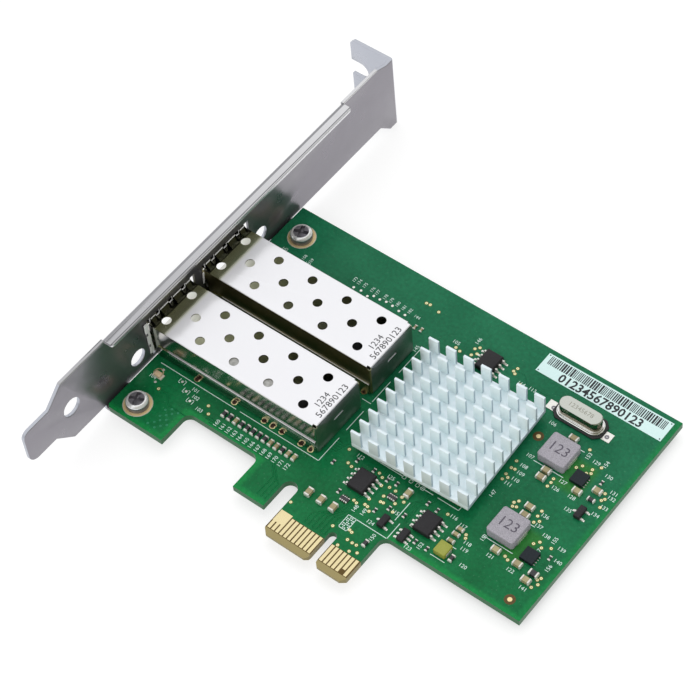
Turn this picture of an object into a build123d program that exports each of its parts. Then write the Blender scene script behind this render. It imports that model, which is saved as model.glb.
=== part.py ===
from build123d import *
import os

# Two-port network interface card, drawn as it is seen with its component side up.
# X runs along the board away from the bracket, Y away from the edge contacts, Z off the component side.
# While drawing, X = 0 is the bracket's inner face, Y = 0 the contact edge, Z = 0 the component face.
# save() then moves every piece so that the key slot's centre is at X = 0.

os.makedirs("parts", exist_ok=True)

# Driving sizes of the board, in mm
board_thickness = 1.6
board_left = 0.6
board_right = 98.4
board_top = 68.9
board_shoulder = 13.0
tab_bottom = 4.6
key_from_bracket = 57.8
key_width = 1.9
key_height = 8.0
notch_left = 15.4
notch_right = 34.4
slot_width = 3.4
slot_height = 12.5
corner_radius = 1.8
tongue_chamfer = 1.0
key_chamfer = 0.7
bevel_height = 1.3
bevel_depth = 0.45

# Edge contacts
contact_pitch = 1.0
contact_width = 0.7
contact_bottom = 1.35
contact_top = 5.6
contact_thickness = 0.04
contacts_before_key = 11
contacts_after_key = 7
key_to_contact = 1.5
short_contact_rise = 1.1
tongue_margin = 0.3
contact_edge = contact_width / 2 + tongue_margin
tongue_left = key_from_bracket - key_to_contact - (contacts_before_key - 1) * contact_pitch - contact_edge
tongue_right = key_from_bracket + key_to_contact + (contacts_after_key - 1) * contact_pitch + contact_edge

# Bracket
bracket_thickness = 0.86
bracket_front = 17.5
bracket_back = -0.9
bracket_wide_back = -4.07
bracket_tip = -16.57
bracket_top = 103.45
bracket_tab_reach = 11.6
lip_reach = 2.2
lip_start = 8.4
lip_end = 86.0
bend_radius = 0.9
tongue_front = 13.3
tongue_back = 3.6
tab_slot_centre = 7.7
tab_slot_width = 4.4
tab_slot_depth = 4.6
ear_reach = 9.8
ear_width = 7.4
flare_start = 97.3
flare_end = 100.6
tab_front = 16.2
relief_start = 97.3
relief_end = 100.9
shoulder_y = -4.6
neck_y = -9.1
round_hole_sides = 16
tip_hole = (-3.4, 8.2, 2.3)
light_hole_height = 3.5
light_hole_radius = 2.1
light_offset = 11.15
light_hole_lead = 0.6

# Mounting screws
screw_x = 5.6
screw_ys = (8.6, 62.3)
screw_shank_radius = 1.48
thread_clearance = 0.02
board_hole_radius = 1.65
ear_hole_sides = 12
screw_head_radius = 2.45
screw_head_height = 1.9
screw_length = 3.9

# Cages
cage_centres = (27.65, 45.15)
cage_width = 14.0
cage_top = 9.4
cage_rear = 43.65
cage_nose = -3.0
sheet = 0.25
standoff = 0.4
flap_top = 3.6
flap_start = 1.4
vent_radius = 1.05
vent_sides = 12
vent_first = 2.05
vent_pitch = 4.51
vent_rows = 9
vent_offset = 4.0
pin_spots = (11.6, 21.6, 31.7, 41.6)
pin_width = 0.6
pin_length = 2.0
pin_hole_radius = 0.45
pin_hole_sides = 8
pin_foot = 1.5
sheet_gap = 0.02

# Spring fingers round the cage noses
finger_root = 0.35
finger_rise = 1.75
finger_side_rise = 0.5
finger_width = 2.55
finger_slot = 1.5
finger_metal = 0.12
finger_bow = 0.05
finger_play = 0.03
port_opening_width = cage_width + 2 * (finger_side_rise + finger_bow)
port_opening_height = cage_top + finger_rise + finger_metal + finger_play

# Module connectors in the cages
connector_front = 33.0
connector_rear = 42.6
connector_width = 11.0
connector_height = 5.3
module_contacts = 10
module_contact_pitch = 0.8

# Controller with its heat sink
chip_x = 61.65
chip_y = 39.4
chip_size = 25.0
solder_height = 0.35
substrate_thickness = 0.8
cap_inset = 0.8
sink_x = 62.05
sink_y = 39.6
sink_turn = 2.5
sink_size = 28.0
sink_bottom = 2.0
tape_thickness = 0.15
sink_base = 1.1
sink_top = 7.2
fin_columns = 7
fin_rows = 10
fin_width = 2.4
fin_thickness = 0.62
fin_taper = 1.2

# Crystal
crystal_x = 81.45
crystal_y = 57.75
crystal_base_height = 0.5
crystal_flange_height = 0.35
crystal_top = 3.6
crystal_length = 11.0
crystal_width = 4.6
crystal_can_length = 9.9
crystal_can_width = 3.3
crystal_seat_margin = 0.4
crystal_seat_chamfer = 1.3
crystal_lead_span = 15.4
crystal_lead_width = 2.2
crystal_lead_offset = -0.4

# Inductors
inductors = {"lower": (85.05, 28.1), "upper": (82.9, 48.1)}
inductor_length = 6.4
inductor_width = 6.5
inductor_top = 2.45
inductor_lift = 0.1

# Packaged chips
eight_lead_chips = {"memory": (55.0, 20.2), "monitor": (71.55, 19.9), "driver": (58.3, 58.3)}
eight_lead_body = (3.9, 4.9, 1.35)
eight_lead_lift = 0.12
eight_lead_span = 6.0
lead_pitch = 1.27
lead_width = 0.42
lead_metal = 0.2
regulators = {"lower": (91.8, 25.7), "upper": (89.4, 45.9)}
regulator_size = 3.0
regulator_top = 0.9
regulator_lift = 0.05

tantalum_x = 77.45
tantalum_y = 16.95
tantalum_size = (2.7, 2.9, 1.4)
tantalum_lift = 0.1
terminal_metal = 0.1

# Label
label_box = (66.8, 97.2, 62.6, 67.8)
label_thickness = 0.1


def block(x0, x1, y0, y1, z0, z1):
    """Box between two limits along each axis."""
    middle = Pos((x0 + x1) / 2, (y0 + y1) / 2, (z0 + z1) / 2)
    return middle * Box(x1 - x0, y1 - y0, z1 - z0)


def post(x, y, radius, z0, z1):
    """Upright round bar or drill."""
    return Pos(x, y, (z0 + z1) / 2) * Cylinder(radius, z1 - z0)


def drill(x, y, radius, sides, z0, z1):
    """Upright drill for a small hole, with flat sides to keep the model light."""
    return Pos(x, y, z0) * extrude(RegularPolygon(radius, sides), z1 - z0)


def profile_xz(points, y0, y1):
    """Outline in X and Z, drawn out from y0 to y1."""
    face = make_face(Polyline(*points, close=True))
    upright = Rot(90, 0, 0) * face
    return Pos(0, y1, 0) * extrude(upright, y1 - y0, dir=(0, -1, 0))


def save(name, *solids):
    """One named piece, moved so that the key slot's centre is the origin."""
    moved = [Pos(-key_from_bracket, 0, 0) * solid for solid in solids]
    piece = moved[0] if len(moved) == 1 else Compound(moved)
    export_step(piece, f"parts/{name}.step")


def near(items, points, reach=0.05):
    """Corners of a flat outline that lie at the given points."""
    return [v for v in items if any(abs(v.X - x) < reach and abs(v.Y - y) < reach for x, y in points)]


# Circuit board, with its edge tongue, key slot, notches and holes
outline = make_face(Polyline(
    (board_left, board_top), (board_right, board_top), (board_right, board_shoulder),
    (tongue_right, board_shoulder), (tongue_right, 0), (tongue_left, 0),
    (tongue_left, tab_bottom), (notch_right, tab_bottom), (notch_right, board_shoulder),
    (notch_left, board_shoulder), (notch_left, tab_bottom), (board_left, tab_bottom),
    close=True))
inner_corners = [(tongue_right, board_shoulder), (notch_right, board_shoulder), (notch_left, board_shoulder)]
outline = fillet(near(outline.vertices(), inner_corners), corner_radius)
tongue_corners = [(tongue_right, 0), (tongue_left, 0)]
outline = chamfer(near(outline.vertices(), tongue_corners), tongue_chamfer)
outline = chamfer(near(outline.vertices(), [(board_left, tab_bottom)]), 0.6)
board = extrude(outline, -board_thickness)
below = -board_thickness - 1
slot_radius = slot_width / 2
slot_x = tongue_left - slot_radius
board -= block(tongue_left - slot_width, tongue_left, -1, slot_height - slot_radius, below, 1)
board -= post(slot_x, slot_height - slot_radius, slot_radius, below, 1)
key_half = key_width / 2
board -= block(key_from_bracket - key_half, key_from_bracket + key_half, -1, key_height - key_half, below, 1)
board -= post(key_from_bracket, key_height - key_half, key_half, below, 1)
for side in (-1, 1):
    edge = key_from_bracket + side * key_half
    corner = [(edge, key_chamfer), (edge + side * key_chamfer, 0), (edge, -1), (edge - side * 0.1, -1)]
    corner.append((edge - side * 0.1, key_chamfer))
    board -= Pos(0, 0, below) * extrude(make_face(Polyline(*corner, close=True)), board_thickness + 2)
for face, inward in ((0, -1), (-board_thickness, 1)):
    wedge = make_face(Polyline((0, face), (bevel_height, face), (0, face + inward * bevel_depth), close=True))
    side = Plane(origin=(0, 0, 0), x_dir=(0, 1, 0), z_dir=(1, 0, 0))
    board -= Pos(tongue_left - 1, 0, 0) * extrude(side * wedge, tongue_right - tongue_left + 2)
for y in screw_ys:
    board -= drill(screw_x, y, board_hole_radius, round_hole_sides, below, 1)
flap_offset = cage_width / 2 + sheet_gap + sheet / 2
for centre in cage_centres:
    for side in (-1, 1):
        for x in pin_spots:
            board -= drill(x, centre + side * flap_offset, pin_hole_radius, pin_hole_sides, below, 1)
save("circuit_board", board)

# Edge contacts on both faces
contacts = []
first = key_from_bracket - key_to_contact - (contacts_before_key - 1) * contact_pitch
spots = [first + i * contact_pitch for i in range(contacts_before_key)]
spots += [key_from_bracket + key_to_contact + i * contact_pitch for i in range(contacts_after_key)]
short_spot = spots[-2]
for z0 in (0, -board_thickness - contact_thickness):
    z1 = z0 + contact_thickness
    joined = None
    for x in spots:
        foot = contact_bottom + (short_contact_rise if x == short_spot else 0)
        strip = block(x - contact_width / 2, x + contact_width / 2, foot, contact_top, z0, z1)
        if z0 == 0 and x in spots[:3]:
            joined = strip if joined is None else joined + strip
        else:
            contacts.append(strip)
    if joined is not None:
        joined += block(tongue_left + tongue_margin - 0.1, spots[2] + contact_width / 2, 3.2, contact_top + 0.5, z0, z1)
        contacts.append(joined)
save("edge_contacts", *contacts)

# Bracket, one bent sheet: face plate, long lip, top tab and two ears under the board
plate_outline = make_face(Polyline(
    (bracket_top, tab_front), (relief_end, tab_front), (relief_start, bracket_front),
    (shoulder_y, bracket_front), (neck_y, tongue_front),
    (bracket_tip, tongue_front), (bracket_tip, tongue_back), (neck_y, tongue_back), (shoulder_y, bracket_back),
    (flare_start, bracket_back), (flare_end, bracket_wide_back), (bracket_top, bracket_wide_back), close=True))
plate_outline = fillet(near(plate_outline.vertices(), [(bracket_tip, tongue_front)]), 1.8)
plate_outline = fillet(near(plate_outline.vertices(), [(bracket_tip, tongue_back)]), 2.4)
facing = Plane(origin=(0, 0, 0), x_dir=(0, 1, 0), z_dir=(1, 0, 0))
bracket = extrude(facing * plate_outline, -bracket_thickness)
ear_top = -board_thickness
ear_bottom = ear_top - bracket_thickness
for y in screw_ys:
    y0 = y - ear_width / 2
    y1 = y + ear_width / 2
    bracket += block(-bracket_thickness, 0, y0, y1, ear_bottom, bracket_back)
    bracket += block(0, ear_reach, y0, y1, ear_bottom, ear_top)
lip_bottom = bracket_front - bracket_thickness
lip_face = make_face(Polyline(
    (0, lip_start), (lip_reach, lip_start), (lip_reach, lip_end), (0, lip_end), close=True))
lip_face = fillet(near(lip_face.vertices(), [(lip_reach, lip_start), (lip_reach, lip_end)]), 0.8)
bracket += Pos(0, 0, lip_bottom) * extrude(lip_face, bracket_thickness)
tab_under = bracket_top - bracket_thickness
tab_outline = make_face(Polyline(
    (-bracket_thickness, bracket_wide_back), (-bracket_thickness, tab_front),
    (-bracket_tab_reach + 1, tab_front), (-bracket_tab_reach, tab_front - 1),
    (-bracket_tab_reach, bracket_wide_back + 1), (-bracket_tab_reach + 1, bracket_wide_back), close=True))
tab = Rot(90, 0, 0) * tab_outline
bracket += Pos(0, bracket_top, 0) * extrude(tab, bracket_thickness, dir=(0, -1, 0))
slot_half = tab_slot_width / 2
slot_end = -bracket_tab_reach + tab_slot_depth - slot_half
bracket -= block(-bracket_tab_reach - 1, slot_end, tab_under - 1, bracket_top + 1,
                 tab_slot_centre - slot_half, tab_slot_centre + slot_half)
slot_round = Pos(slot_end, tab_under, tab_slot_centre) * Rot(90, 0, 0) * Cylinder(slot_half, 4)
bracket -= slot_round


def bend_edges(shape, x, y, z):
    """Straight edges that lie on a bend line, given two of their three coordinates."""
    found = []
    for edge in shape.edges():
        c = edge.center()
        near_x = x is None or abs(c.X - x) < 0.01
        near_y = y is None or abs(c.Y - y) < 0.01
        near_z = z is None or abs(c.Z - z) < 0.01
        ends = edge.bounding_box()
        span_x = x is None or ends.size.X < 0.01
        span_y = y is None or ends.size.Y < 0.01
        span_z = z is None or ends.size.Z < 0.01
        if near_x and near_y and near_z and span_x and span_y and span_z:
            found.append(edge)
    return found


outer_bends = bend_edges(bracket, 0, bracket_top, None)
outer_bends += bend_edges(bracket, -bracket_thickness, None, ear_bottom)
bracket = fillet(outer_bends, bend_radius * 0.85)
for centre in cage_centres:
    half = port_opening_width / 2
    bracket -= block(-2, 1, centre - half, centre + half, 0, port_opening_height)
light_ys = (cage_centres[0] - light_offset, cage_centres[1] + light_offset)
round_holes = [tip_hole]
for y in light_ys:
    round_holes.append((y - light_hole_lead, light_hole_height, light_hole_radius))
for y, z, radius in round_holes:
    punch = extrude(RegularPolygon(radius, round_hole_sides), 4)
    bracket -= Pos(-2, y, z) * Rot(0, 90, 0) * punch
for y in screw_ys:
    ring = RegularPolygon(screw_shank_radius + thread_clearance, ear_hole_sides, major_radius=False)
    bracket -= Pos(screw_x, y, ear_bottom - 1) * extrude(ring, bracket_thickness + 1.5)
save("bracket", bracket)

# Pan-head screws with a cross recess, down through the board into the ears
screws = []
for y in screw_ys:
    head = post(screw_x, y, screw_head_radius, 0, screw_head_height)
    crown = head.edges().filter_by(GeomType.CIRCLE).sort_by(Axis.Z)[-1]
    head = chamfer(crown, 0.6)
    screw = head + post(screw_x, y, screw_shank_radius, -screw_length, 0)
    for turn in (0, 90):
        arm = Rot(0, 0, turn) * Box(3.0, 0.7, 1.2)
        screw -= Pos(screw_x, y, screw_head_height - 0.4) * arm
    screws.append(screw)
save("mounting_screws", *screws)

# Cages: a vented cover folded over a tray that is pressed into the board
floor_top = standoff + sheet
tray_half = cage_width / 2 + sheet_gap + sheet
for name, centre in zip(("lower", "upper"), cage_centres):
    half = cage_width / 2
    cover = block(cage_nose, cage_rear, centre - half, centre + half, floor_top + sheet_gap, cage_top)
    cover -= block(cage_nose - 1, cage_rear - sheet, centre - half + sheet, centre + half - sheet,
                   0, cage_top - sheet)
    cover -= block(cage_nose + 0.5, finger_root, centre - half + sheet, centre + half - sheet,
                   cage_top - sheet - 1, cage_top + 1)
    for row in range(vent_rows):
        offsets = (0,) if row % 2 else (-vent_offset, vent_offset)
        for offset in offsets:
            x = vent_first + row * vent_pitch
            cover -= drill(x, centre + offset, vent_radius, vent_sides, cage_top - 1, cage_top + 1)
    for side in (-1, 1):
        y = centre + side * half
        cover -= block(cage_rear - 0.9, cage_rear + 1, y - 0.45, y + 0.45, cage_top - 0.8, cage_top + 1)
    cover -= block(cage_rear - 1, cage_rear + 1, centre - 1.4, centre + 1.4, 5.4, 5.9)
    save(f"cage_cover_{name}", cover)

    tray = block(cage_nose, connector_front - 0.4, centre - half, centre + half, standoff, floor_top)
    tray -= Pos(3.2, centre, 0) * extrude(make_face(Polyline((2.0, 0), (-1.4, 1.9), (-1.4, -1.9), close=True)), 1)
    for side in (-1, 1):
        y_in = centre + side * (half + sheet_gap)
        y_out = centre + side * tray_half
        low, high = min(y_in, y_out), max(y_in, y_out)
        tray += block(flap_start, cage_rear - 0.6, low, high, standoff, flap_top)
        edge = centre + side * half
        tray += block(flap_start, connector_front - 0.4, min(edge, y_out), max(edge, y_out), standoff, floor_top)
        for x in pin_spots:
            tray += block(x - pin_foot / 2, x + pin_foot / 2, low, high, 0, standoff)
            tray += block(x - pin_width / 2, x + pin_width / 2, low, high, -pin_length, 0)
    save(f"cage_tray_{name}", tray)

    fingers = []
    peak = cage_top + finger_rise
    arch = [(finger_root + 0.9, cage_top), (finger_root, cage_top), (-0.45, peak), (-1.1, peak - 0.25),
            (cage_nose, cage_top), (cage_nose, cage_top + finger_metal),
            (-1.1, peak - 0.25 + finger_metal), (-0.45, peak + finger_metal),
            (finger_root, cage_top + finger_metal), (finger_root + 0.9, cage_top + finger_metal)]
    pitch = finger_width + finger_slot
    for i in (-1.5, -0.5, 0.5, 1.5):
        middle = centre + i * pitch
        width = finger_width
        if abs(i) > 1:
            width = 1.5
            middle = centre + i / abs(i) * (pitch + finger_slot / 2 + width / 2)
        fingers.append(profile_xz(arch, middle - width / 2, middle + width / 2))
    for side in (-1, 1):
        y = centre + side * half
        bow = [(finger_root, y), (-0.6, y + side * finger_side_rise), (cage_nose, y),
               (cage_nose, y + side * finger_metal),
               (-0.6, y + side * (finger_side_rise + finger_bow)), (finger_root, y + side * finger_metal)]
        face = make_face(Polyline(*bow, close=True))
        for low in (1.2, 4.2):
            fingers.append(Pos(0, 0, low) * extrude(face, 2.4, dir=(0, 0, 1)))
    save(f"spring_fingers_{name}", *fingers)

    wide = connector_width / 2
    housing = block(connector_front, connector_rear, centre - wide, centre + wide, 0, connector_height)
    housing -= block(connector_front - 1, connector_front + 6.5, centre - 4.6, centre + 4.6, 2.4, 4.1)
    housing -= block(connector_rear - 1.4, connector_rear + 1, centre - 4.8, centre + 4.8, 2.6, 6)
    save(f"module_connector_{name}", housing)

    tails = []
    for i in range(module_contacts):
        y = centre + (i - (module_contacts - 1) / 2) * module_contact_pitch
        tails.append(block(connector_rear, connector_rear + 0.7, y - 0.15, y + 0.15, 0, 0.2))
    save(f"connector_tails_{name}", *tails)

# Controller: solder, substrate and moulded cap, then tape and heat sink
balls = []
ball_rows = 6
for i in range(ball_rows):
    for j in range(ball_rows):
        if i in (0, ball_rows - 1) or j in (0, ball_rows - 1):
            step = (chip_size - 2.4) / (ball_rows - 1)
            x = chip_x - chip_size / 2 + 1.2 + i * step
            y = chip_y - chip_size / 2 + 1.2 + j * step
            balls.append(block(x - 0.3, x + 0.3, y - 0.3, y + 0.3, 0, solder_height))
save("controller_solder", *balls)
chip_half = chip_size / 2
substrate_top = solder_height + substrate_thickness
save("controller_substrate", block(chip_x - chip_half, chip_x + chip_half, chip_y - chip_half,
                                   chip_y + chip_half, solder_height, substrate_top))
cap_half = chip_half - cap_inset
cap_top = sink_bottom - tape_thickness
save("controller_cap", block(chip_x - cap_half, chip_x + cap_half, chip_y - cap_half, chip_y + cap_half,
                             substrate_top, cap_top))
save("thermal_tape", block(chip_x - cap_half + 0.5, chip_x + cap_half - 0.5, chip_y - cap_half + 0.5,
                           chip_y + cap_half - 0.5, cap_top, sink_bottom))

sink = Pos(0, 0, sink_bottom + sink_base / 2) * Box(sink_size, sink_size, sink_base)
floor = sink_bottom + sink_base
fin_height = sink_top - floor
column_step = (sink_size - fin_width) / (fin_columns - 1)
row_step = (sink_size - fin_thickness) / (fin_rows - 1)
fins = []
for i in range(fin_columns):
    for j in range(fin_rows):
        x = -sink_size / 2 + fin_width / 2 + i * column_step
        y = -sink_size / 2 + fin_thickness / 2 + j * row_step
        fin = extrude(Rectangle(fin_width, fin_thickness), fin_height, taper=fin_taper)
        fins.append(Pos(x, y, floor) * fin)
sink += fins
save("heat_sink", Pos(sink_x, sink_y, 0) * Rot(0, 0, sink_turn) * sink)

# Crystal: moulded seat, flanged oval can and two flat leads
flange_bottom = crystal_base_height
flange_top = flange_bottom + crystal_flange_height
at_crystal = Pos(crystal_x, crystal_y, 0)
seat = Box(crystal_length + 2 * crystal_seat_margin, crystal_width + 2 * crystal_seat_margin,
           crystal_base_height - 0.2)
seat = chamfer(seat.edges().filter_by(Axis.Z), crystal_seat_chamfer)
save("crystal_seat", at_crystal * Pos(0, 0, 0.1 + crystal_base_height / 2) * seat)
can = extrude(SlotOverall(crystal_length, crystal_width), crystal_flange_height)
can = Pos(0, 0, flange_bottom) * can
shell = extrude(SlotOverall(crystal_can_length, crystal_can_width), crystal_top - flange_top)
shell = chamfer(shell.edges().group_by(Axis.Z)[-1], 0.3)
can += Pos(0, 0, flange_top) * shell
save("crystal_can", at_crystal * can)
leads = []
for side in (-1, 1):
    outer = side * crystal_lead_span / 2
    inner = side * (crystal_length / 2 - 2.6)
    x0, x1 = sorted((crystal_x + inner, crystal_x + outer))
    w = crystal_lead_width / 2
    lead_y = crystal_y + crystal_lead_offset
    leads.append(block(x0, x1, lead_y - w, lead_y + w, 0, 0.2))
save("crystal_leads", *leads)

# Moulded inductors on their end terminals
for name, (x, y) in inductors.items():
    half_l = inductor_length / 2
    half_w = inductor_width / 2
    body = block(x - half_l, x + half_l, y - half_w, y + half_w, inductor_lift, inductor_top)
    body = chamfer(body.edges().filter_by(Axis.Z), 0.35)
    save(f"inductor_{name}", body)
    terminals = []
    for side in (-1, 1):
        t = inductor_lift
        end = side * half_l
        bent = [(x + end - side * 1.6, 0), (x + end + side * t, 0), (x + end + side * t, 1.1),
                (x + end, 1.1), (x + end, t), (x + end - side * 1.6, t)]
        terminals.append(profile_xz(bent, y - 1.6, y + 1.6))
    save(f"inductor_terminals_{name}", *terminals)

# Eight-lead chips with gull-wing leads
body_length, body_width, body_height = eight_lead_body
for name, (x, y) in eight_lead_chips.items():
    z0 = eight_lead_lift
    z1 = z0 + body_height
    body = block(x - body_length / 2, x + body_length / 2, y - body_width / 2, y + body_width / 2, z0, z1)
    body = chamfer(body.edges().group_by(Axis.Z)[-1], 0.2)
    save(f"{name}_chip", body)
    legs = []
    for side in (-1, 1):
        root = body_length / 2
        reach = eight_lead_span / 2
        knee = root + 0.35
        m = lead_metal
        mid = z0 + 0.55
        wing = [(root, mid), (knee, mid), (knee + 0.15, m), (knee + 0.15, 0), (reach, 0), (reach, m),
                (knee + 0.35, m), (knee + 0.2, mid + m), (root, mid + m)]
        for i in range(4):
            leg_y = y + (i - 1.5) * lead_pitch
            points = [(x + side * px, pz) for px, pz in wing]
            legs.append(profile_xz(points, leg_y - lead_width / 2, leg_y + lead_width / 2))
    save(f"{name}_leads", *legs)

# Flat switching regulators
for name, (x, y) in regulators.items():
    half = regulator_size / 2
    save(f"regulator_{name}", block(x - half, x + half, y - half, y + half, regulator_lift, regulator_top))
pads = []
for x, y in regulators.values():
    half = regulator_size / 2
    for side in (-1, 1):
        for i in range(4):
            spot = y + (i - 1.5) * 0.65
            x0, x1 = sorted((x + side * (half - 0.3), x + side * (half + 0.3)))
            pads.append(block(x0, x1, spot - 0.12, spot + 0.12, 0, regulator_lift))
save("regulator_pads", *pads)

# Small transistors: body, then leads on two sides
transistor_bodies = []
transistor_leads = []
transistors = [(64.05, 15.4, 1.4, 2.9, (0,), (-0.95, 0.95)),
               (69.2, 15.1, 1.5, 2.9, (-0.95, 0, 0.95), (-0.95, 0, 0.95)),
               (94.0, 39.4, 1.4, 2.9, (0,), (-0.95, 0.95))]
for x, y, length, width, left, right in transistors:
    transistor_bodies.append(block(x - length / 2, x + length / 2, y - width / 2, y + width / 2, 0.1, 1.1))
    for side, offsets in ((-1, left), (1, right)):
        for offset in offsets:
            x0, x1 = sorted((x + side * length / 2, x + side * (length / 2 + 0.65)))
            transistor_leads.append(block(x0, x1, y + offset - 0.2, y + offset + 0.2, 0, 0.3))
save("transistor_bodies", *transistor_bodies)
save("transistor_leads", *transistor_leads)

# Tantalum capacitor with tin ends
tantalum_length, tantalum_width, tantalum_height = tantalum_size
reach = tantalum_length / 2
across = tantalum_width / 2
tantalum_top = tantalum_lift + tantalum_height
save("tantalum_capacitor", block(tantalum_x - reach, tantalum_x + reach, tantalum_y - across,
                                 tantalum_y + across, tantalum_lift, tantalum_top))
terminals = []
for side in (-1, 1):
    x0, x1 = sorted((tantalum_x + side * reach, tantalum_x + side * (reach + terminal_metal)))
    terminals.append(block(x0, x1, tantalum_y - 0.85, tantalum_y + 0.85, 0, 1.0))
save("tantalum_terminals", *terminals)

# Chip parts: a body between two metal ends, lying along X or Y
chip_cases = {"large": (2.0, 1.25, 1.0, 0.4), "medium": (1.6, 0.8, 0.75, 0.32), "small": (1.0, 0.5, 0.4, 0.22)}


def chip_part(x, y, along, case):
    """Body and two ends of one chip part."""
    length, width, height, end = chip_cases[case]
    low = -length / 2
    spans = [(low + end, -low - end), (low, low + end), (-low - end, -low)]
    boxes = []
    for i, (a, b) in enumerate(spans):
        trim = 0.03 if i == 0 else 0
        across = width / 2 - trim
        if along == "x":
            boxes.append(block(x + a, x + b, y - across, y + across, trim, height - trim))
        else:
            boxes.append(block(x - across, x + across, y + a, y + b, trim, height - trim))
    return boxes


supply_capacitors = [(85.7, 23.0), (94.3, 20.85), (85.3, 34.8), (85.6, 32.7), (83.0, 43.6),
                     (83.0, 41.75), (90.7, 43.1), (93.9, 45.5), (83.05, 53.0), (90.9, 22.85)]
signal_capacitors = [(47.9, 12.2), (51.0, 12.2), (54.0, 12.2), (64.1, 23.4)]
filter_capacitors = [(77.3, 22.8), (77.3, 21.4), (77.35, 19.6)]
row_start = 21.95
row_pitch = 1.525
row_y = 16.9
row_capacitors = (2, 8, 9, 11, 12)
bodies = []
ends = []
groups = [(supply_capacitors, "x", "large"), (signal_capacitors, "y", "large"), (filter_capacitors, "x", "medium"),
          ([(row_start + i * row_pitch, row_y) for i in row_capacitors], "y", "medium"),
          ([(40.2, 57.05), (41.7, 57.2)], "y", "small")]
for spots, along, case in groups:
    for x, y in spots:
        parts = chip_part(x, y, along, case)
        bodies.append(parts[0])
        ends += parts[1:]
save("capacitor_bodies", *bodies)
save("capacitor_ends", *ends)

resistor_spots = [(47.2, 20.8), (50.95, 23.9), (55.15, 23.9), (58.7, 23.7), (60.8, 24.0), (52.4, 16.0),
                  (61.0, 16.6), (63.0, 18.6), (74.6, 15.5), (71.8, 15.5), (66.45, 19.0), (68.55, 24.0),
                  (71.0, 23.7), (93.4, 47.7), (95.1, 27.7)]
bodies = []
ends = []
row_resistors = [i for i in range(13) if i not in row_capacitors]
groups = [([(row_start + i * row_pitch, row_y) for i in row_resistors], "y", "medium"),
          (resistor_spots, "y", "small"), ([(64.2, 9.4), (79.85, 16.5)], "y", "medium"),
          ([(94.0, 43.15)], "x", "medium"), ([(94.7, 22.85)], "x", "large")]
for spots, along, case in groups:
    for x, y in spots:
        parts = chip_part(x, y, along, case)
        bodies.append(parts[0])
        ends += parts[1:]
for x, y in ((54.5, 15.2), (61.9, 21.0)):
    bodies.append(block(x - 1.0, x + 1.0, y - 0.35, y + 0.35, 0, 0.35))
    for side in (-1, 1):
        y0, y1 = sorted((y + side * 0.35, y + side * 0.55))
        ends.append(block(x - 0.9, x + 0.9, y0, y1, 0, 0.3))
save("resistor_bodies", *bodies)
save("resistor_ends", *ends)

# Port lights behind the bracket's round holes
for name, y in zip(("lower", "upper"), light_ys):
    lens = block(3.6, 5.2, y - 0.6, y + 0.6, 0.25, 0.9)
    save(f"port_light_{name}", lens)
    save(f"port_light_base_{name}", block(3.2, 5.6, y - 0.65, y + 0.65, 0, 0.25))

# Paper label
x0, x1, y0, y1 = label_box
save("paper_label", block(x0, x1, y0, y1, 0, label_thickness))
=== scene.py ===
# %% [markdown]
# # A two-port network interface card
# The card is a green circuit board screwed to a bent steel bracket. Two vented steel cages take
# optical modules, a pale pin-fin heat sink cools the controller, and an edge tongue with gold
# contacts fits a slot in a computer. The solid model gives every size and place. This lesson dresses
# it: metal that mirrors the board, a printed and tinned board, and small parts with solder at their ends.

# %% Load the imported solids
import bpy
import bmesh
import math
from mathutils import Matrix, Vector


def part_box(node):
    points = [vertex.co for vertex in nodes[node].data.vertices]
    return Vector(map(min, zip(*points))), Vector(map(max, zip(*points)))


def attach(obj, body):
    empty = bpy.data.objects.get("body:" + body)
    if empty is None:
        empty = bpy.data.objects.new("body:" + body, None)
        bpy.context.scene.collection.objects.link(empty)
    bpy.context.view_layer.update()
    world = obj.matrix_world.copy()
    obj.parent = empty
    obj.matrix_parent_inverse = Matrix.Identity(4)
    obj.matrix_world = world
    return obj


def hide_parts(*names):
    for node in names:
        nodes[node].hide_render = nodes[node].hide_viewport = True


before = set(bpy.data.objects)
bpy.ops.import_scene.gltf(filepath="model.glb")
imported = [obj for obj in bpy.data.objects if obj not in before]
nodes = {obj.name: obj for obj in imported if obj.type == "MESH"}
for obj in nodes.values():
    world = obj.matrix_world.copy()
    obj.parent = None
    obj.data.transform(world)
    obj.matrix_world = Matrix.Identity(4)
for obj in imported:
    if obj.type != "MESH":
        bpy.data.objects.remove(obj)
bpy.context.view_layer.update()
print("nodes", len(nodes))

# %% [markdown]
# ## One drawing for everything
# The board was measured from two edges that a maker would use: the bracket's inner face and the
# contact edge. Sizes below are in millimetres from there, and `spot` turns them into the scene's metres
# with the key slot's centre at the origin, as the solids have it.

# %% Drawing units
mm = 0.001
key_from_bracket = 57.8


def spot(x, y, z=0.0):
    """A point on the drawing: X from the bracket, Y from the contact edge, Z off the board's face."""
    return Vector(((x - key_from_bracket) * mm, y * mm, z * mm))


def drawn(node):
    """The low and high corner of a solid, back in drawing millimetres."""
    low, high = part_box(node)
    a = [v / mm for v in low]
    b = [v / mm for v in high]
    a[0] += key_from_bracket
    b[0] += key_from_bracket
    return a, b


# %% [markdown]
# ## A small workshop
# An operator acts on everything that is selected, so each tool first clears the selection. A bar is a
# cube primitive brought to its corners, a rod is a cylinder, and a ring is a circle whose edge is
# extruded inward and thickened. Each is then shaped further before it counts as a piece.

# %% Selecting
def clear_selection():
    """Back to object mode with nothing selected."""
    active = bpy.context.view_layer.objects.active
    if active is not None and active.mode != "OBJECT":
        bpy.ops.object.mode_set(mode="OBJECT")
    bpy.ops.object.select_all(action="DESELECT")


def only(piece):
    """Selects one piece and makes it active."""
    clear_selection()
    piece.select_set(True)
    bpy.context.view_layer.objects.active = piece


def apply_place(piece):
    """Puts a piece's place, turn and size into its mesh."""
    only(piece)
    bpy.ops.object.transform_apply(location=True, rotation=True, scale=True)


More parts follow.
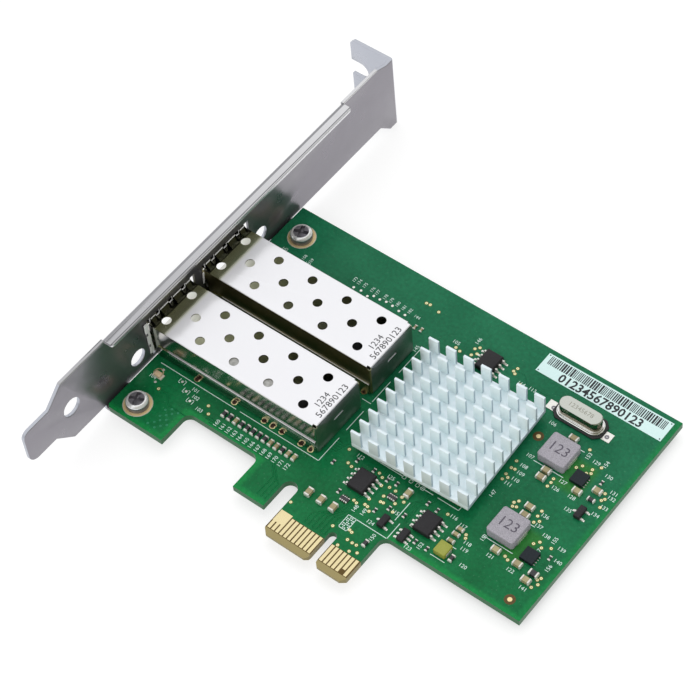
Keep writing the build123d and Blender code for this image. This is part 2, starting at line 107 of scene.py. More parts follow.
# %% Bars, rods and rings
def bar(name, low, high):
    """A square bar between two corners of the drawing."""
    clear_selection()
    a = spot(*low)
    b = spot(*high)
    bpy.ops.mesh.primitive_cube_add(size=1, location=(a + b) / 2)
    piece = bpy.context.object
    piece.name = name
    piece.scale = b - a
    apply_place(piece)
    return piece


def rod(name, x, y, radius, z0, z1, sides=32):
    """An upright round bar."""
    clear_selection()
    bpy.ops.mesh.primitive_cylinder_add(vertices=sides, radius=radius * mm, depth=(z1 - z0) * mm,
                                        location=spot(x, y, (z0 + z1) / 2))
    piece = bpy.context.object
    piece.name = name
    apply_place(piece)
    return piece


def edit_all(piece):
    """Opens a piece in edit mode with all of it selected."""
    only(piece)
    bpy.ops.object.mode_set(mode="EDIT")
    bpy.ops.mesh.select_all(action="SELECT")


def end_edit():
    """Back to object mode."""
    bpy.ops.object.mode_set(mode="OBJECT")


def select_faces(piece, test):
    """Opens a piece in edit mode with only the faces selected that pass a test."""
    edit_all(piece)
    bpy.ops.mesh.select_all(action="DESELECT")
    end_edit()
    for face in piece.data.polygons:
        face.select = test(face)
    bpy.ops.object.mode_set(mode="EDIT")


def outward(piece):
    """Makes all faces point out."""
    edit_all(piece)
    bpy.ops.mesh.normals_make_consistent(inside=False)
    end_edit()


def ring(name, x, y, outer, inner, z0, z1, sides=24):
    """A flat ring, drawn as a circle, extruded inward and given a thickness."""
    clear_selection()
    middle = spot(x, y, (z0 + z1) / 2)
    bpy.ops.mesh.primitive_circle_add(vertices=sides, radius=outer * mm, location=middle)
    piece = bpy.context.object
    piece.name = name
    edit_all(piece)
    bpy.ops.mesh.extrude_edges_move()
    share = inner / outer
    bpy.ops.transform.resize(value=(share, share, 1), center_override=middle)
    end_edit()
    apply_place(piece)
    wall = piece.modifiers.new("thickness", "SOLIDIFY")
    wall.thickness = (z1 - z0) * mm
    wall.offset = 0
    bpy.ops.object.modifier_apply(modifier="thickness")
    outward(piece)
    return piece


# %% Shaping tools
def soften(piece, width, segments=2, angle=35):
    """Rounds the sharp edges and shades the rounding smooth."""
    only(piece)
    bevel = piece.modifiers.new("soft edges", "BEVEL")
    bevel.width = width * mm
    bevel.segments = segments
    bevel.limit_method = "ANGLE"
    bevel.angle_limit = math.radians(angle)
    bpy.ops.object.modifier_apply(modifier="soft edges")
    bpy.ops.object.shade_smooth_by_angle(angle=math.radians(40))
    return piece


def cut_away(piece, tool):
    """Cuts one shape out of a piece and throws the tool away."""
    only(piece)
    cut = piece.modifiers.new("cut", "BOOLEAN")
    cut.operation = "DIFFERENCE"
    cut.solver = "EXACT"
    cut.object = tool
    bpy.ops.object.modifier_apply(modifier="cut")
    bpy.data.objects.remove(tool)
    return piece


def join(pieces, name):
    """Joins pieces into the first of them."""
    clear_selection()
    for piece in pieces:
        piece.select_set(True)
    bpy.context.view_layer.objects.active = pieces[0]
    if len(pieces) > 1:
        bpy.ops.object.join()
    pieces[0].name = name
    return pieces[0]


def scatter(pattern, name, places):
    """Copies a pattern made at the drawing's corner to each (x, y), and joins the copies."""
    home = spot(0, 0)
    copies = []
    for x, y in places:
        copy = pattern.copy()
        copy.data = pattern.data.copy()
        bpy.context.scene.collection.objects.link(copy)
        copy.data.transform(Matrix.Translation(spot(x, y)) @ Matrix.Translation(-home))
        copies.append(copy)
    bpy.data.objects.remove(pattern)
    return join(copies, name)


def copy_solid(node, name):
    """Copies a solid's mesh, then welds and cleans the copy."""
    solid = nodes[node]
    piece = bpy.data.objects.new(name, solid.data.copy())
    bpy.context.scene.collection.objects.link(piece)
    edit_all(piece)
    bpy.ops.mesh.remove_doubles(threshold=0.002 * mm)
    bpy.ops.mesh.dissolve_limited(angle_limit=math.radians(2))
    end_edit()
    return piece


def refine(node, name, width, segments=2):
    """A cleaned copy of a solid with rounded edges."""
    return soften(copy_solid(node, name), width, segments)


def settle(piece, finish, slot, *instead, second=None):
    """Gives a piece its finish and body, and hides the solids that it stands for. Its slot is not used."""
    while len(piece.data.materials) < (2 if second else 1):
        piece.data.materials.append(finish)
    piece.data.materials[0] = finish
    if second:
        piece.data.materials[1] = second
    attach(piece, "root")
    if instead:
        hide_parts(*instead)
    print(piece.name, "faces", len(piece.data.polygons))
    return piece


# %% [markdown]
# ## Finding the small parts
# The smallest parts share one solid for each kind. To put solder or a pad at each of them, their
# boxes are needed. They could be written down again, but then they would go wrong as soon as a part
# moved, so the mesh is walked from corner to corner until each separate block is found.

# %% Blocks inside a shared solid
def middle_of(low, high):
    """The middle between two corners."""
    return Vector([(p + q) / 2 for p, q in zip(low, high)])


def islands(node):
    """The box of every separate block in a solid, as low and high corners in drawing millimetres."""
    work = bmesh.new()
    work.from_mesh(nodes[node].data)
    bmesh.ops.remove_doubles(work, verts=work.verts, dist=0.001 * mm)
    left = set(work.verts)
    boxes = []
    while left:
        start = left.pop()
        stack = [start]
        found = [start]
        while stack:
            for edge in stack.pop().link_edges:
                for vert in edge.verts:
                    if vert in left:
                        left.remove(vert)
                        stack.append(vert)
                        found.append(vert)
        corners = []
        for pick in (min, max):
            corner = [pick(v.co[i] for v in found) / mm for i in range(3)]
            corner[0] += key_from_bracket
            corners.append(corner)
        boxes.append(corners)
    work.free()
    return boxes


# %% [markdown]
# ## Finishes
# Every finish is a Principled shader with its plain values on its own sockets. What varies over a
# surface could be painted on an image, but noise needs no image and has no seams. It comes from
# shared groups: a fine grain, brushed streaks and soft blotches. They read Object coordinates in
# millimetres, so a pattern stays put on the piece.

# %% Shared shader groups
def start_group(name, inputs, outputs):
    """An empty shader group with named number inputs and outputs."""
    group = bpy.data.node_groups.new(name, "ShaderNodeTree")
    for label, value in inputs.items():
        socket = group.interface.new_socket(label, in_out="INPUT", socket_type="NodeSocketFloat")
        socket.default_value = value
    for label in outputs:
        group.interface.new_socket(label, in_out="OUTPUT", socket_type="NodeSocketFloat")
    enter = group.nodes.new("NodeGroupInput")
    leave = group.nodes.new("NodeGroupOutput")
    return group, enter, leave


def pattern_group(name, stretch, detail):
    """Noise on Object coordinates with a size and a low and high value for its mask."""
    group, enter, leave = start_group(name, {"Per mm": 1.0, "Low": 0.0, "High": 1.0}, ["Mask", "Height"])
    place = group.nodes.new("ShaderNodeTexCoord")
    squeeze = group.nodes.new("ShaderNodeMapping")
    squeeze.inputs["Scale"].default_value = [1000 * s for s in stretch]
    noise = group.nodes.new("ShaderNodeTexNoise")
    noise.inputs["Detail"].default_value = detail
    spread = group.nodes.new("ShaderNodeMapRange")
    spread.inputs["From Min"].default_value = 0.3
    spread.inputs["From Max"].default_value = 0.7
    link = group.links.new
    link(place.outputs["Object"], squeeze.inputs["Vector"])
    link(squeeze.outputs["Vector"], noise.inputs["Vector"])
    link(enter.outputs["Per mm"], noise.inputs["Scale"])
    link(noise.outputs["Fac"], spread.inputs["Value"])
    link(enter.outputs["Low"], spread.inputs["To Min"])
    link(enter.outputs["High"], spread.inputs["To Max"])
    link(spread.outputs["Result"], leave.inputs["Mask"])
    link(noise.outputs["Fac"], leave.inputs["Height"])
    return group


fine_grain = pattern_group("fine grain", (1, 1, 1), 3.0)
brushed_along_x = pattern_group("brushed along X", (0.05, 1, 1), 4.0)
brushed_along_y = pattern_group("brushed along Y", (1, 0.05, 1), 4.0)
blotches = pattern_group("soft blotches", (1, 1, 1), 1.0)
print("shared groups", len(bpy.data.node_groups))


# %% A finish and its parts
def new_finish(name, colour, roughness, metallic=0.0, specular=0.5):
    """A Principled material with plain values on its own sockets."""
    finish = bpy.data.materials.new(name)
    finish.use_nodes = True
    shader = finish.node_tree.nodes["Principled BSDF"]
    shader.inputs["Base Color"].default_value = (*colour, 1)
    shader.inputs["Roughness"].default_value = roughness
    shader.inputs["Metallic"].default_value = metallic
    shader.inputs["Specular IOR Level"].default_value = specular
    return finish, finish.node_tree, shader


def add_group(tree, group, per_mm, low=0.0, high=1.0):
    """Places a shared group in a finish with its own values."""
    node = tree.nodes.new("ShaderNodeGroup")
    node.node_tree = group
    node.inputs["Per mm"].default_value = per_mm
    node.inputs["Low"].default_value = low
    node.inputs["High"].default_value = high
    return node


def paint(tree, shader, colour):
    """Feeds a colour to the shader."""
    tree.links.new(colour, shader.inputs["Base Color"])


def cloud_roughness(tree, shader, per_mm, low, high):
    """Lets the roughness drift between two values in soft clouds."""
    cloud = add_group(tree, blotches, per_mm, low, high)
    tree.links.new(cloud.outputs["Mask"], shader.inputs["Roughness"])


def bumped(tree, shader, height, depth, strength=0.5):
    """Feeds a height to the shader's normal."""
    bump = tree.nodes.new("ShaderNodeBump")
    bump.inputs["Strength"].default_value = strength
    bump.inputs["Distance"].default_value = depth * mm
    tree.links.new(height, bump.inputs["Height"])
    tree.links.new(bump.outputs["Normal"], shader.inputs["Normal"])


def blend_colours(tree, mask, first, second):
    """A colour that runs from the first to the second with a mask."""
    mix = tree.nodes.new("ShaderNodeMix")
    mix.data_type = "RGBA"
    for socket, colour in ((mix.inputs[6], first), (mix.inputs[7], second)):
        if isinstance(colour, tuple):
            socket.default_value = (*colour, 1)
        else:
            tree.links.new(colour, socket)
    tree.links.new(mask, mix.inputs[0])
    return mix.outputs[2]


# %% [markdown]
# Two kinds of finish come back often. A plated metal changes its roughness in clouds, as handling
# leaves it. A moulded body has a fine speckle, as a filled plastic or a ceramic has.

# %% Plain metals and moulded bodies
def metal(name, colour, low, high, per_mm=3.0, metallic=1.0, depth=0.0015):
    """A plated metal whose roughness changes softly over a fine grain."""
    finish, tree, shader = new_finish(name, colour, low, metallic)
    cloud_roughness(tree, shader, 0.25, low, high)
    bumped(tree, shader, add_group(tree, fine_grain, per_mm).outputs["Height"], depth)
    return finish


def moulded(name, first, second, roughness, per_mm=6.0, depth=0.01, specular=0.5):
    """A moulded or pressed body with a fine speckle in colour and height."""
    finish, tree, shader = new_finish(name, first, roughness, 0.0, specular)
    speckle = add_group(tree, fine_grain, per_mm)
    paint(tree, shader, blend_colours(tree, speckle.outputs["Mask"], first, second))
    bumped(tree, shader, speckle.outputs["Height"], depth)
    return finish


# %% [markdown]
# Some sheets are one piece with several looks: a burnished edge, a dull side, a bright top. Several
# materials would meet in hard borders, so one finish fades between the looks. Its masks are read off
# the drawing, from the place of a point or from the way that a face points.

# %% Masks from the place on the drawing
def place_axes(tree):
    """The X, Y and Z of a point, as the drawing's axes run."""
    place = tree.nodes.new("ShaderNodeTexCoord")
    axes = tree.nodes.new("ShaderNodeSeparateXYZ")
    tree.links.new(place.outputs["Object"], axes.inputs["Vector"])
    return axes.outputs


def facing_axes(tree):
    """The X, Y and Z of the way that a face points."""
    facing = tree.nodes.new("ShaderNodeNewGeometry")
    axes = tree.nodes.new("ShaderNodeSeparateXYZ")
    tree.links.new(facing.outputs["Normal"], axes.inputs["Vector"])
    return axes.outputs


def faded(tree, value, start, end, low=0.0, high=1.0):
    """Runs smoothly from low to high while a value runs from start to end; places are in metres."""
    node = tree.nodes.new("ShaderNodeMapRange")
    node.interpolation_type = "SMOOTHSTEP"
    node.inputs["From Min"].default_value = start
    node.inputs["From Max"].default_value = end
    node.inputs["To Min"].default_value = low
    node.inputs["To Max"].default_value = high
    tree.links.new(value, node.inputs["Value"])
    return node.outputs["Result"]


def combine(tree, operation, first, second):
    """One number worked out from two: a product, a sum or the larger one."""
    node = tree.nodes.new("ShaderNodeMath")
    node.operation = operation
    for socket, value in zip(node.inputs, (first, second)):
        if isinstance(value, float):
            socket.default_value = value
        else:
            tree.links.new(value, socket)
    return node.outputs[0]


def both(tree, first, second):
    """Where two masks overlap."""
    return combine(tree, "MULTIPLY", first, second)


def along(x):
    """A place along the board, in metres on Object coordinates."""
    return (x - key_from_bracket) * mm


def within(tree, value, low, high, edge=0.1):
    """One between two places and zero outside them."""
    rise = faded(tree, value, low - edge * mm, low)
    return both(tree, rise, faded(tree, value, high, high + edge * mm, 1.0, 0.0))


# %% [markdown]
# The bracket is nickel-plated steel. Its punched edges and its lip are painted brighter than its broad
# inner face, which is painted dark for the board that it mirrors. The lip's painted highlight grows
# toward the top, and a painted dark line runs along it where the bend's reflection ends.

# %% Bracket steel
bracket_metal, tree, shader = new_finish("nickel plated bracket", (0.30, 0.29, 0.32), 0.3, 0.85)
axes = place_axes(tree)
# the lip is painted brighter toward the top, as a painted highlight
up_the_lip = faded(tree, axes["Y"], 15 * mm, 85 * mm)
lip_colour = blend_colours(tree, up_the_lip, (0.50, 0.50, 0.52), (0.72, 0.72, 0.74))
# a dark line along the lip, painted shade where the bend's reflection ends
bend_edge_shade = within(tree, axes["X"], along(1.72), along(1.86), 0.08)
lip_colour = blend_colours(tree, bend_edge_shade, lip_colour, (0.16, 0.16, 0.17))
# outer side and punched edges painted brighter and the inner face painted dark, as painted reflection
outer_side = faded(tree, axes["X"], along(0.0), along(-0.1))
plate_colour = blend_colours(tree, outer_side, (0.30, 0.287, 0.317), (0.52, 0.54, 0.60))
on_lip = faded(tree, axes["Z"], 17.2 * mm, 17.35 * mm)
steel_colour = blend_colours(tree, on_lip, plate_colour, lip_colour)
# a band of painted shade in the bend
in_bend = both(tree, faded(tree, axes["X"], along(0.34), along(0.22)),
               within(tree, axes["Y"], 8.4 * mm, 86 * mm))
in_bend = both(tree, in_bend, within(tree, axes["Z"], 16.6 * mm, 17.6 * mm, 0.4))
steel_colour = blend_colours(tree, in_bend, steel_colour, (0.33, 0.33, 0.35))
# the lip's underside is painted pale, as painted light
underside = both(tree, faded(tree, axes["X"], along(0.05), along(0.2)),
                 within(tree, axes["Z"], 16.5 * mm, 17.1 * mm))
paint(tree, shader, blend_colours(tree, underside, steel_colour, (0.90, 0.90, 0.92)))
cloud_roughness(tree, shader, 0.25, 0.27, 0.36)
bumped(tree, shader, add_group(tree, brushed_along_y, 4.0).outputs["Height"], 0.0010)
print("finish", bracket_metal.name)

# %% [markdown]
# The cages are bright sheet, satin on top, and rougher toward the gap between them and at the rear.
# Their tops are painted brightest and their sides painted darker for the board that they mirror, with
# more painted shade toward the gap and at the rear. Beside the bracket their tops are painted olive, as
# the bracket's shade and reflection; under the arches the sheet is painted near black as shade, with a
# painted highlight at its edge, and their feet get a painted highlight line.

# %% Cage sheet
cage_metal, tree, shader = new_finish("bright cage sheet", (0.86, 0.86, 0.89), 0.1, 1.0)
axes = place_axes(tree)
# tops painted brighter and sides darker, as painted light and painted reflection of the board
on_top = faded(tree, facing_axes(tree)["Z"], 0.3, 0.8)
# the rear painted darker, as painted shade
at_rear = faded(tree, axes["X"], along(43.3), along(43.5))
side_colour = blend_colours(tree, at_rear, (0.52, 0.51, 0.48), (0.40, 0.36, 0.36))
# a painted highlight line along the feet
foot = faded(tree, axes["Z"], 0.75 * mm, 0.55 * mm)
side_colour = blend_colours(tree, foot, side_colour, (0.86, 0.88, 0.80))
# painted shade on the sides that face the gap between the cages
facing_gap = within(tree, axes["Y"], 34.5 * mm, 38.4 * mm)
side_colour = blend_colours(tree, facing_gap, side_colour, (0.32, 0.28, 0.14))
# under the arches: near black painted shade, with a painted highlight line at the sheet's edge
edge_highlight = within(tree, axes["X"], along(-0.52), along(-0.38), 0.05)
under_arches = blend_colours(tree, edge_highlight, (0.07, 0.07, 0.05), (0.92, 0.92, 0.90))
# painted olive shade and reflection of the bracket on the tops next to it
past_bracket = faded(tree, axes["X"], along(3.4), along(4.9))
top_colour = blend_colours(tree, past_bracket, (0.62, 0.65, 0.39), (0.89, 0.89, 0.92))
top_colour = blend_colours(tree, faded(tree, axes["X"], along(1.5), along(1.3)), top_colour, under_arches)
paint(tree, shader, blend_colours(tree, on_top, side_colour, top_colour))
satin = both(tree, on_top, faded(tree, axes["X"], along(3.3), along(4.6)))
tree.links.new(faded(tree, satin, 0.0, 1.0, 1.0, 0.32), shader.inputs["Metallic"])
in_gap = both(tree, facing_gap, faded(tree, on_top, 0.0, 1.0, 0.22, 0.0))
side_haze = combine(tree, "ADD", faded(tree, at_rear, 0.0, 1.0, 0.0, 0.16), in_gap)
cloud = add_group(tree, blotches, 0.25, 0.15, 0.20)
tree.links.new(combine(tree, "ADD", cloud.outputs["Mask"], side_haze), shader.inputs["Roughness"])
print("finish", cage_metal.name)

# %% [markdown]
# The spring fingers are painted near black, as the shade and dark reflection under the bracket. Inside
# the cages the sheet is hardly lit, and what light there is comes in at the ports, so its colour pales
# toward them.

# %% Springs and inner sheet
# near black: painted shade and dark reflection on the spring fingers
spring_metal, tree, shader = new_finish("spring strip", (0.08, 0.08, 0.055), 0.3, 1.0)
stain = add_group(tree, fine_grain, 3.0)
paint(tree, shader, blend_colours(tree, stain.outputs["Mask"], (0.09, 0.09, 0.06), (0.07, 0.07, 0.05)))
cloud_roughness(tree, shader, 0.5, 0.26, 0.36)

inner_sheet, tree, shader = new_finish("unlit inner sheet", (0.42, 0.42, 0.31), 0.5, 1.0)
near_ports = faded(tree, place_axes(tree)["X"], along(4.5), along(0.5))
paint(tree, shader, blend_colours(tree, near_ports, (0.50, 0.51, 0.37), (0.85, 0.85, 0.80)))
cloud_roughness(tree, shader, 0.25, 0.45, 0.55)
print("finishes", spring_metal.name, "and", inner_sheet.name)

# %% [markdown]
# Tin, solder and the screws mirror the dark board, which would turn a pure metal nearly black. They
# are set only partly metallic, so that they keep a pale face. Gold keeps its colour and needs less.

# %% Solder, tin, screws and gold
tin_metal = metal("tin plating", (0.80, 0.785, 0.74), 0.22, 0.36, 5.0, 0.6)
# bright strip for the side springs, also used for the painted highlight strips on the arches
strip_metal = metal("bright strip and painted highlight", (0.97, 0.97, 0.95), 0.3, 0.4, 3.0, 0.25, 0.001)
solder_metal = metal("solder", (0.90, 0.89, 0.84), 0.18, 0.28, 3.0, 0.55)
screw_metal = metal("screw plating", (0.95, 0.95, 0.95), 0.12, 0.18, 4.0, 0.55)
# dark colour used as painted shade in the screw recesses, on the screw heads' sides and in the springs'
# holes
recess_metal = metal("pressed recess", (0.25, 0.24, 0.27), 0.30, 0.40, 4.0, 0.7)
gold_metal = metal("gold plating", (0.88, 0.76, 0.44), 0.22, 0.34, 2.0)
land_metal = metal("screw land", (0.99, 0.76, 0.40), 0.26, 0.36, 2.0, 0.5)
via_metal = metal("filled via", (0.97, 0.90, 0.52), 0.30, 0.45, 4.0, 0.5)
print("finishes", len(bpy.data.materials))

# %% [markdown]
# The crystal's can is drawn from one disc of steel, so its wall is streaked and its top is satin. The
# wall is painted dark as a painted reflection, and the flange round its foot is painted bright as a
# painted highlight.

# %% Crystal can
crystal_metal, tree, shader = new_finish("satin crystal can", (0.52, 0.54, 0.49), 0.18, 1.0)
height = place_axes(tree)["Z"]
# the wall painted darker than the top, as painted reflection
can_colour = blend_colours(tree, faded(tree, height, 3.35 * mm, 3.5 * mm), (0.32, 0.29, 0.22),
                           (0.60, 0.62, 0.57))
# the flange painted near white, as a painted highlight
on_flange = faded(tree, height, 1.05 * mm, 0.95 * mm)
paint(tree, shader, blend_colours(tree, on_flange, can_colour, (0.95, 0.95, 0.94)))
cloud_roughness(tree, shader, 0.25, 0.14, 0.22)
bumped(tree, shader, add_group(tree, brushed_along_x, 5.0).outputs["Height"], 0.001)
print("finish", crystal_metal.name)

# %% [markdown]
# The heat sink is pale anodised aluminium: half metal, half a chalky oxide skin. The pins' broad flanks
# are painted lighter and their ends darker, as painted light and shade.

# %% Heat sink
sink_finish, tree, shader = new_finish("anodised aluminium", (0.70, 0.82, 0.86), 0.5, 0.20)
tint = add_group(tree, fine_grain, 0.9)
sink_colour = blend_colours(tree, tint.outputs["Mask"], (0.76, 0.88, 0.93), (0.83, 0.92, 0.97))
facing = facing_axes(tree)
# flanks painted lighter and ends darker by the way a face points, as painted light and shade
flank = faded(tree, combine(tree, "ABSOLUTE", facing["Y"], 0.0), 0.5, 0.8)
sawn_end = faded(tree, combine(tree, "ABSOLUTE", facing["X"], 0.0), 0.5, 0.8)
sink_colour = blend_colours(tree, flank, sink_colour, (0.90, 0.98, 0.98))
paint(tree, shader, blend_colours(tree, sawn_end, sink_colour, (0.48, 0.58, 0.64)))
cloud_roughness(tree, shader, 0.4, 0.42, 0.58)
bumped(tree, shader, add_group(tree, fine_grain, 8.0).outputs["Height"], 0.01)
print("finish", sink_finish.name)

# %% [markdown]
# The chips, the ceramics and the pressed powder of the inductors are matt. They share one recipe and
# differ in their two colours, in how rough they are and in how fine their speckle is.

# %% Moulded bodies and ceramics
chip_black = moulded("black moulding", (0.014, 0.013, 0.015), (0.026, 0.024, 0.028), 0.55, 6.0, 0.01, 0.35)
regulator_black = moulded("blue black moulding", (0.007, 0.012, 0.017), (0.014, 0.020, 0.027), 0.5,
                          6.0, 0.01, 0.3)
resistor_dark = moulded("dark ceramic", (0.02, 0.02, 0.024), (0.05, 0.05, 0.055), 0.4)
capacitor_tan = moulded("tan ceramic", (0.46, 0.42, 0.22), (0.30, 0.24, 0.14), 0.45, 0.3)
inductor_grey = moulded("pressed powder", (0.27, 0.255, 0.285), (0.46, 0.44, 0.49), 0.6, 5.0, 0.03)
tantalum_yellow = moulded("yellow moulding", (0.28, 0.31, 0.04), (0.35, 0.37, 0.06), 0.4)
connector_black = moulded("connector plastic", (0.012, 0.012, 0.013), (0.02, 0.02, 0.021), 0.5)
substrate_amber = moulded("amber laminate", (0.30, 0.19, 0.05), (0.40, 0.27, 0.09), 0.4)
tape_grey = moulded("thermal tape", (0.30, 0.30, 0.31), (0.38, 0.38, 0.39), 0.8)
light_base_white = moulded("lamp base", (0.62, 0.58, 0.48), (0.7, 0.66, 0.56), 0.5)
light_lens = moulded("lamp lens", (0.62, 0.45, 0.27), (0.72, 0.55, 0.36), 0.2)
silk_ink = moulded("legend ink", (0.66, 0.82, 0.76), (0.76, 0.90, 0.85), 0.6, 8.0, 0.004, 0.3)
print("finishes", len(bpy.data.materials))

# %% [markdown]
# ## The circuit board
# Green mask lies over copper and over bare laminate, which makes two greens. The rims and a few
# copper pours are yellower, and a little dust lies on the mask. The cut edges show the laminate
# itself, so the finish uses the height on the board to tell a face from an edge.

# %% Green mask
def green_under_mask(tree, axes, lift=1.0):
    """The green of the mask: deeper near the contacts, greyer away from them, with soft clouds."""
    def shade(red, green, blue):
        return red * lift, green * lift, blue * lift

    pour = add_group(tree, blotches, 0.10).outputs["Mask"]
    low_green = blend_colours(tree, pour, shade(0.003, 0.125, 0.036), shade(0.006, 0.165, 0.050))
    high_green = blend_colours(tree, pour, shade(0.008, 0.130, 0.058), shade(0.014, 0.165, 0.076))
    return blend_colours(tree, faded(tree, axes["Y"], 6 * mm, 58 * mm), low_green, high_green)


# %% Board finish
board_finish, tree, shader = new_finish("green mask", (0.006, 0.15, 0.055), 0.28, 0.0, 0.15)
axes = place_axes(tree)
rim_strips = ((67, 99, 12.4, 13.4), (15.4, 34.4, 12.4, 13.4), (0, 44.4, 4.0, 5.0),
              (14.8, 15.6, 4.6, 13.0), (34.2, 35.0, 4.6, 13.0))
rim = faded(tree, axes["X"], along(96.6), along(98.3), 0.0, 0.7)
for x0, x1, y0, y1 in rim_strips:
    strip = both(tree, within(tree, axes["X"], along(x0), along(x1), 1.2),
                 within(tree, axes["Y"], y0 * mm, y1 * mm, 1.2))
    rim = combine(tree, "MAXIMUM", rim, strip)
mask_green = blend_colours(tree, rim, green_under_mask(tree, axes), (0.008, 0.225, 0.055))
poured = combine(tree, "MAXIMUM", within(tree, axes["Y"], 43 * mm, 49 * mm, 2.0),
                 within(tree, axes["Y"], 24 * mm, 30 * mm, 2.0))
poured = both(tree, within(tree, axes["X"], along(86.5), along(90.5), 2.0), poured)
mask_green = blend_colours(tree, both(tree, poured, 0.7), mask_green, (0.030, 0.185, 0.022))
dust = faded(tree, add_group(tree, fine_grain, 2.4).outputs["Mask"], 0.90, 1.0, 0.0, 0.45)
mask_green = blend_colours(tree, dust, mask_green, (0.10, 0.30, 0.17))
flecked = tree.nodes.new("ShaderNodeVectorMath")
flecked.operation = "SCALE"
tree.links.new(mask_green, flecked.inputs[0])
speckle = add_group(tree, fine_grain, 1.3, 0.86, 1.16)
tree.links.new(speckle.outputs["Mask"], flecked.inputs["Scale"])
print("rim strips", len(rim_strips))

# %% Cut edges and the bare tongue
cut_edge = both(tree, faded(tree, axes["Z"], -0.02 * mm, -0.03 * mm),
                faded(tree, axes["Z"], -1.58 * mm, -1.57 * mm))
on_tongue = within(tree, axes["X"], along(45.6), along(66.0))
bare = both(tree, faded(tree, axes["Y"], 5.75 * mm, 5.65 * mm), on_tongue)
face_colour = blend_colours(tree, bare, flecked.outputs["Vector"], (0.12, 0.075, 0.02))
edge_colour = blend_colours(tree, bare, (0.030, 0.15, 0.055), (0.35, 0.29, 0.13))
paint(tree, shader, blend_colours(tree, cut_edge, face_colour, edge_colour))
cloud_roughness(tree, shader, 0.3, 0.22, 0.34)
bumped(tree, shader, add_group(tree, fine_grain, 2.2).outputs["Height"], 0.006)


def dress(node, finish):
    """Gives a solid that stays its finish."""
    nodes[node].data.materials.clear()
    nodes[node].data.materials.append(finish)


dress("circuit_board", board_finish)
dress("edge_contacts", gold_metal)
print("dressed", board_finish.name, "and", gold_metal.name)

# %% [markdown]
# ## Copper traces under the mask
# A trace is a thin strip of copper that turns in 45 degree bends. It could be a bump in the board's
# finish, but a bump has no edge to catch the light. Each trace here is one run of a curve with a small
# section, made a mesh and pressed almost flat.

# %% Trace runs
trace_finish, tree, shader = new_finish("mask over copper", (0.012, 0.175, 0.07), 0.3, 0.0, 0.15)
paint(tree, shader, green_under_mask(tree, place_axes(tree), 1.15))
faint_finish = moulded("mask over a via", (0.03, 0.24, 0.12), (0.05, 0.28, 0.15), 0.3, 2.0, 0.002, 0.2)
trace_runs = []
for i in range(6):
    trace_runs.append([(51.3 + i, 6.4), (51.3 + i, 9.0 + 0.4 * i), (54.3 + i * 0.7, 12.0 + 0.4 * i),
                       (56.5 + i * 0.45, 18.0), (56.5 + i * 0.45, 26.5)])
for i in range(5):
    trace_runs.append([(44.2, 23.0 + i * 0.6), (46.0 + i * 0.3, 23.0 + i * 0.6), (48.6, 28.5 + i * 0.8)])
    trace_runs.append([(44.2, 41.0 + i * 0.6), (46.0, 41.0 + i * 0.6), (48.6, 40.0 + i * 0.8)])
for i in range(4):
    trace_runs.append([(67.5 + i * 0.6, 26.0), (67.5 + i * 0.6, 24.2), (66.0 + i * 0.5, 22.6),
                       (66.0 + i * 0.5, 18.0)])
for i in range(3):
    trace_runs.append([(18.0 + i * 1.2, 14.6 - i * 0.5), (36.0 + i, 14.6 - i * 0.5),
                       (39.5 + i, 11.2 - i * 0.5), (39.5 + i, 6.0)])
    trace_runs.append([(75.0, 55.0 - i * 0.7), (71.0, 55.0 - i * 0.7), (69.5 - i * 0.5, 53.5 - i * 0.5)])
trace_runs.append([(6.6, 14.0), (9.0, 14.0), (11.0, 12.0), (15.6, 12.0)])
trace_runs.append([(64.0, 60.3), (66.0, 60.3), (67.5, 58.8), (72.5, 58.8)])
print("trace runs", len(trace_runs))


def bent_strips(name, runs, width, squeeze, pivot, roundness=0, caps=False):
    """Strips bent through places on the drawing, made a mesh and pressed flat about a pivot."""
    curve = bpy.data.curves.new(name, "CURVE")
    curve.dimensions = "3D"
    curve.bevel_depth = width / 2 * mm
    curve.bevel_resolution = roundness
    curve.use_fill_caps = caps
    for run in runs:
        line = curve.splines.new("POLY")
        line.points.add(len(run) - 1)
        for point, place in zip(line.points, run):
            point.co = (*spot(*place), 1)
    piece = bpy.data.objects.new(name, curve)
    bpy.context.scene.collection.objects.link(piece)
    only(piece)
    bpy.ops.object.convert(target="MESH")
    piece = bpy.context.object
    edit_all(piece)
    bpy.ops.transform.resize(value=squeeze, center_override=pivot)
    end_edit()
    return piece


# %% Traces
trace_width = 0.3
trace_height = 0.008
pressed = (1, 1, 2 * trace_height / trace_width)
traces = bent_strips("copper_traces", trace_runs, trace_width, pressed, (0, 0, 0))
settle(traces, trace_finish, "board_green")

# %% [markdown]
# ## Plated holes and lands
# A via is a small gold ring round a drilled hole, with a brown clearance round it. Wider rings stand
# where the cage pins go through, and each screw has a broad gold land. One ring is modelled for each
# kind and copied to every place, since they are all drilled alike.

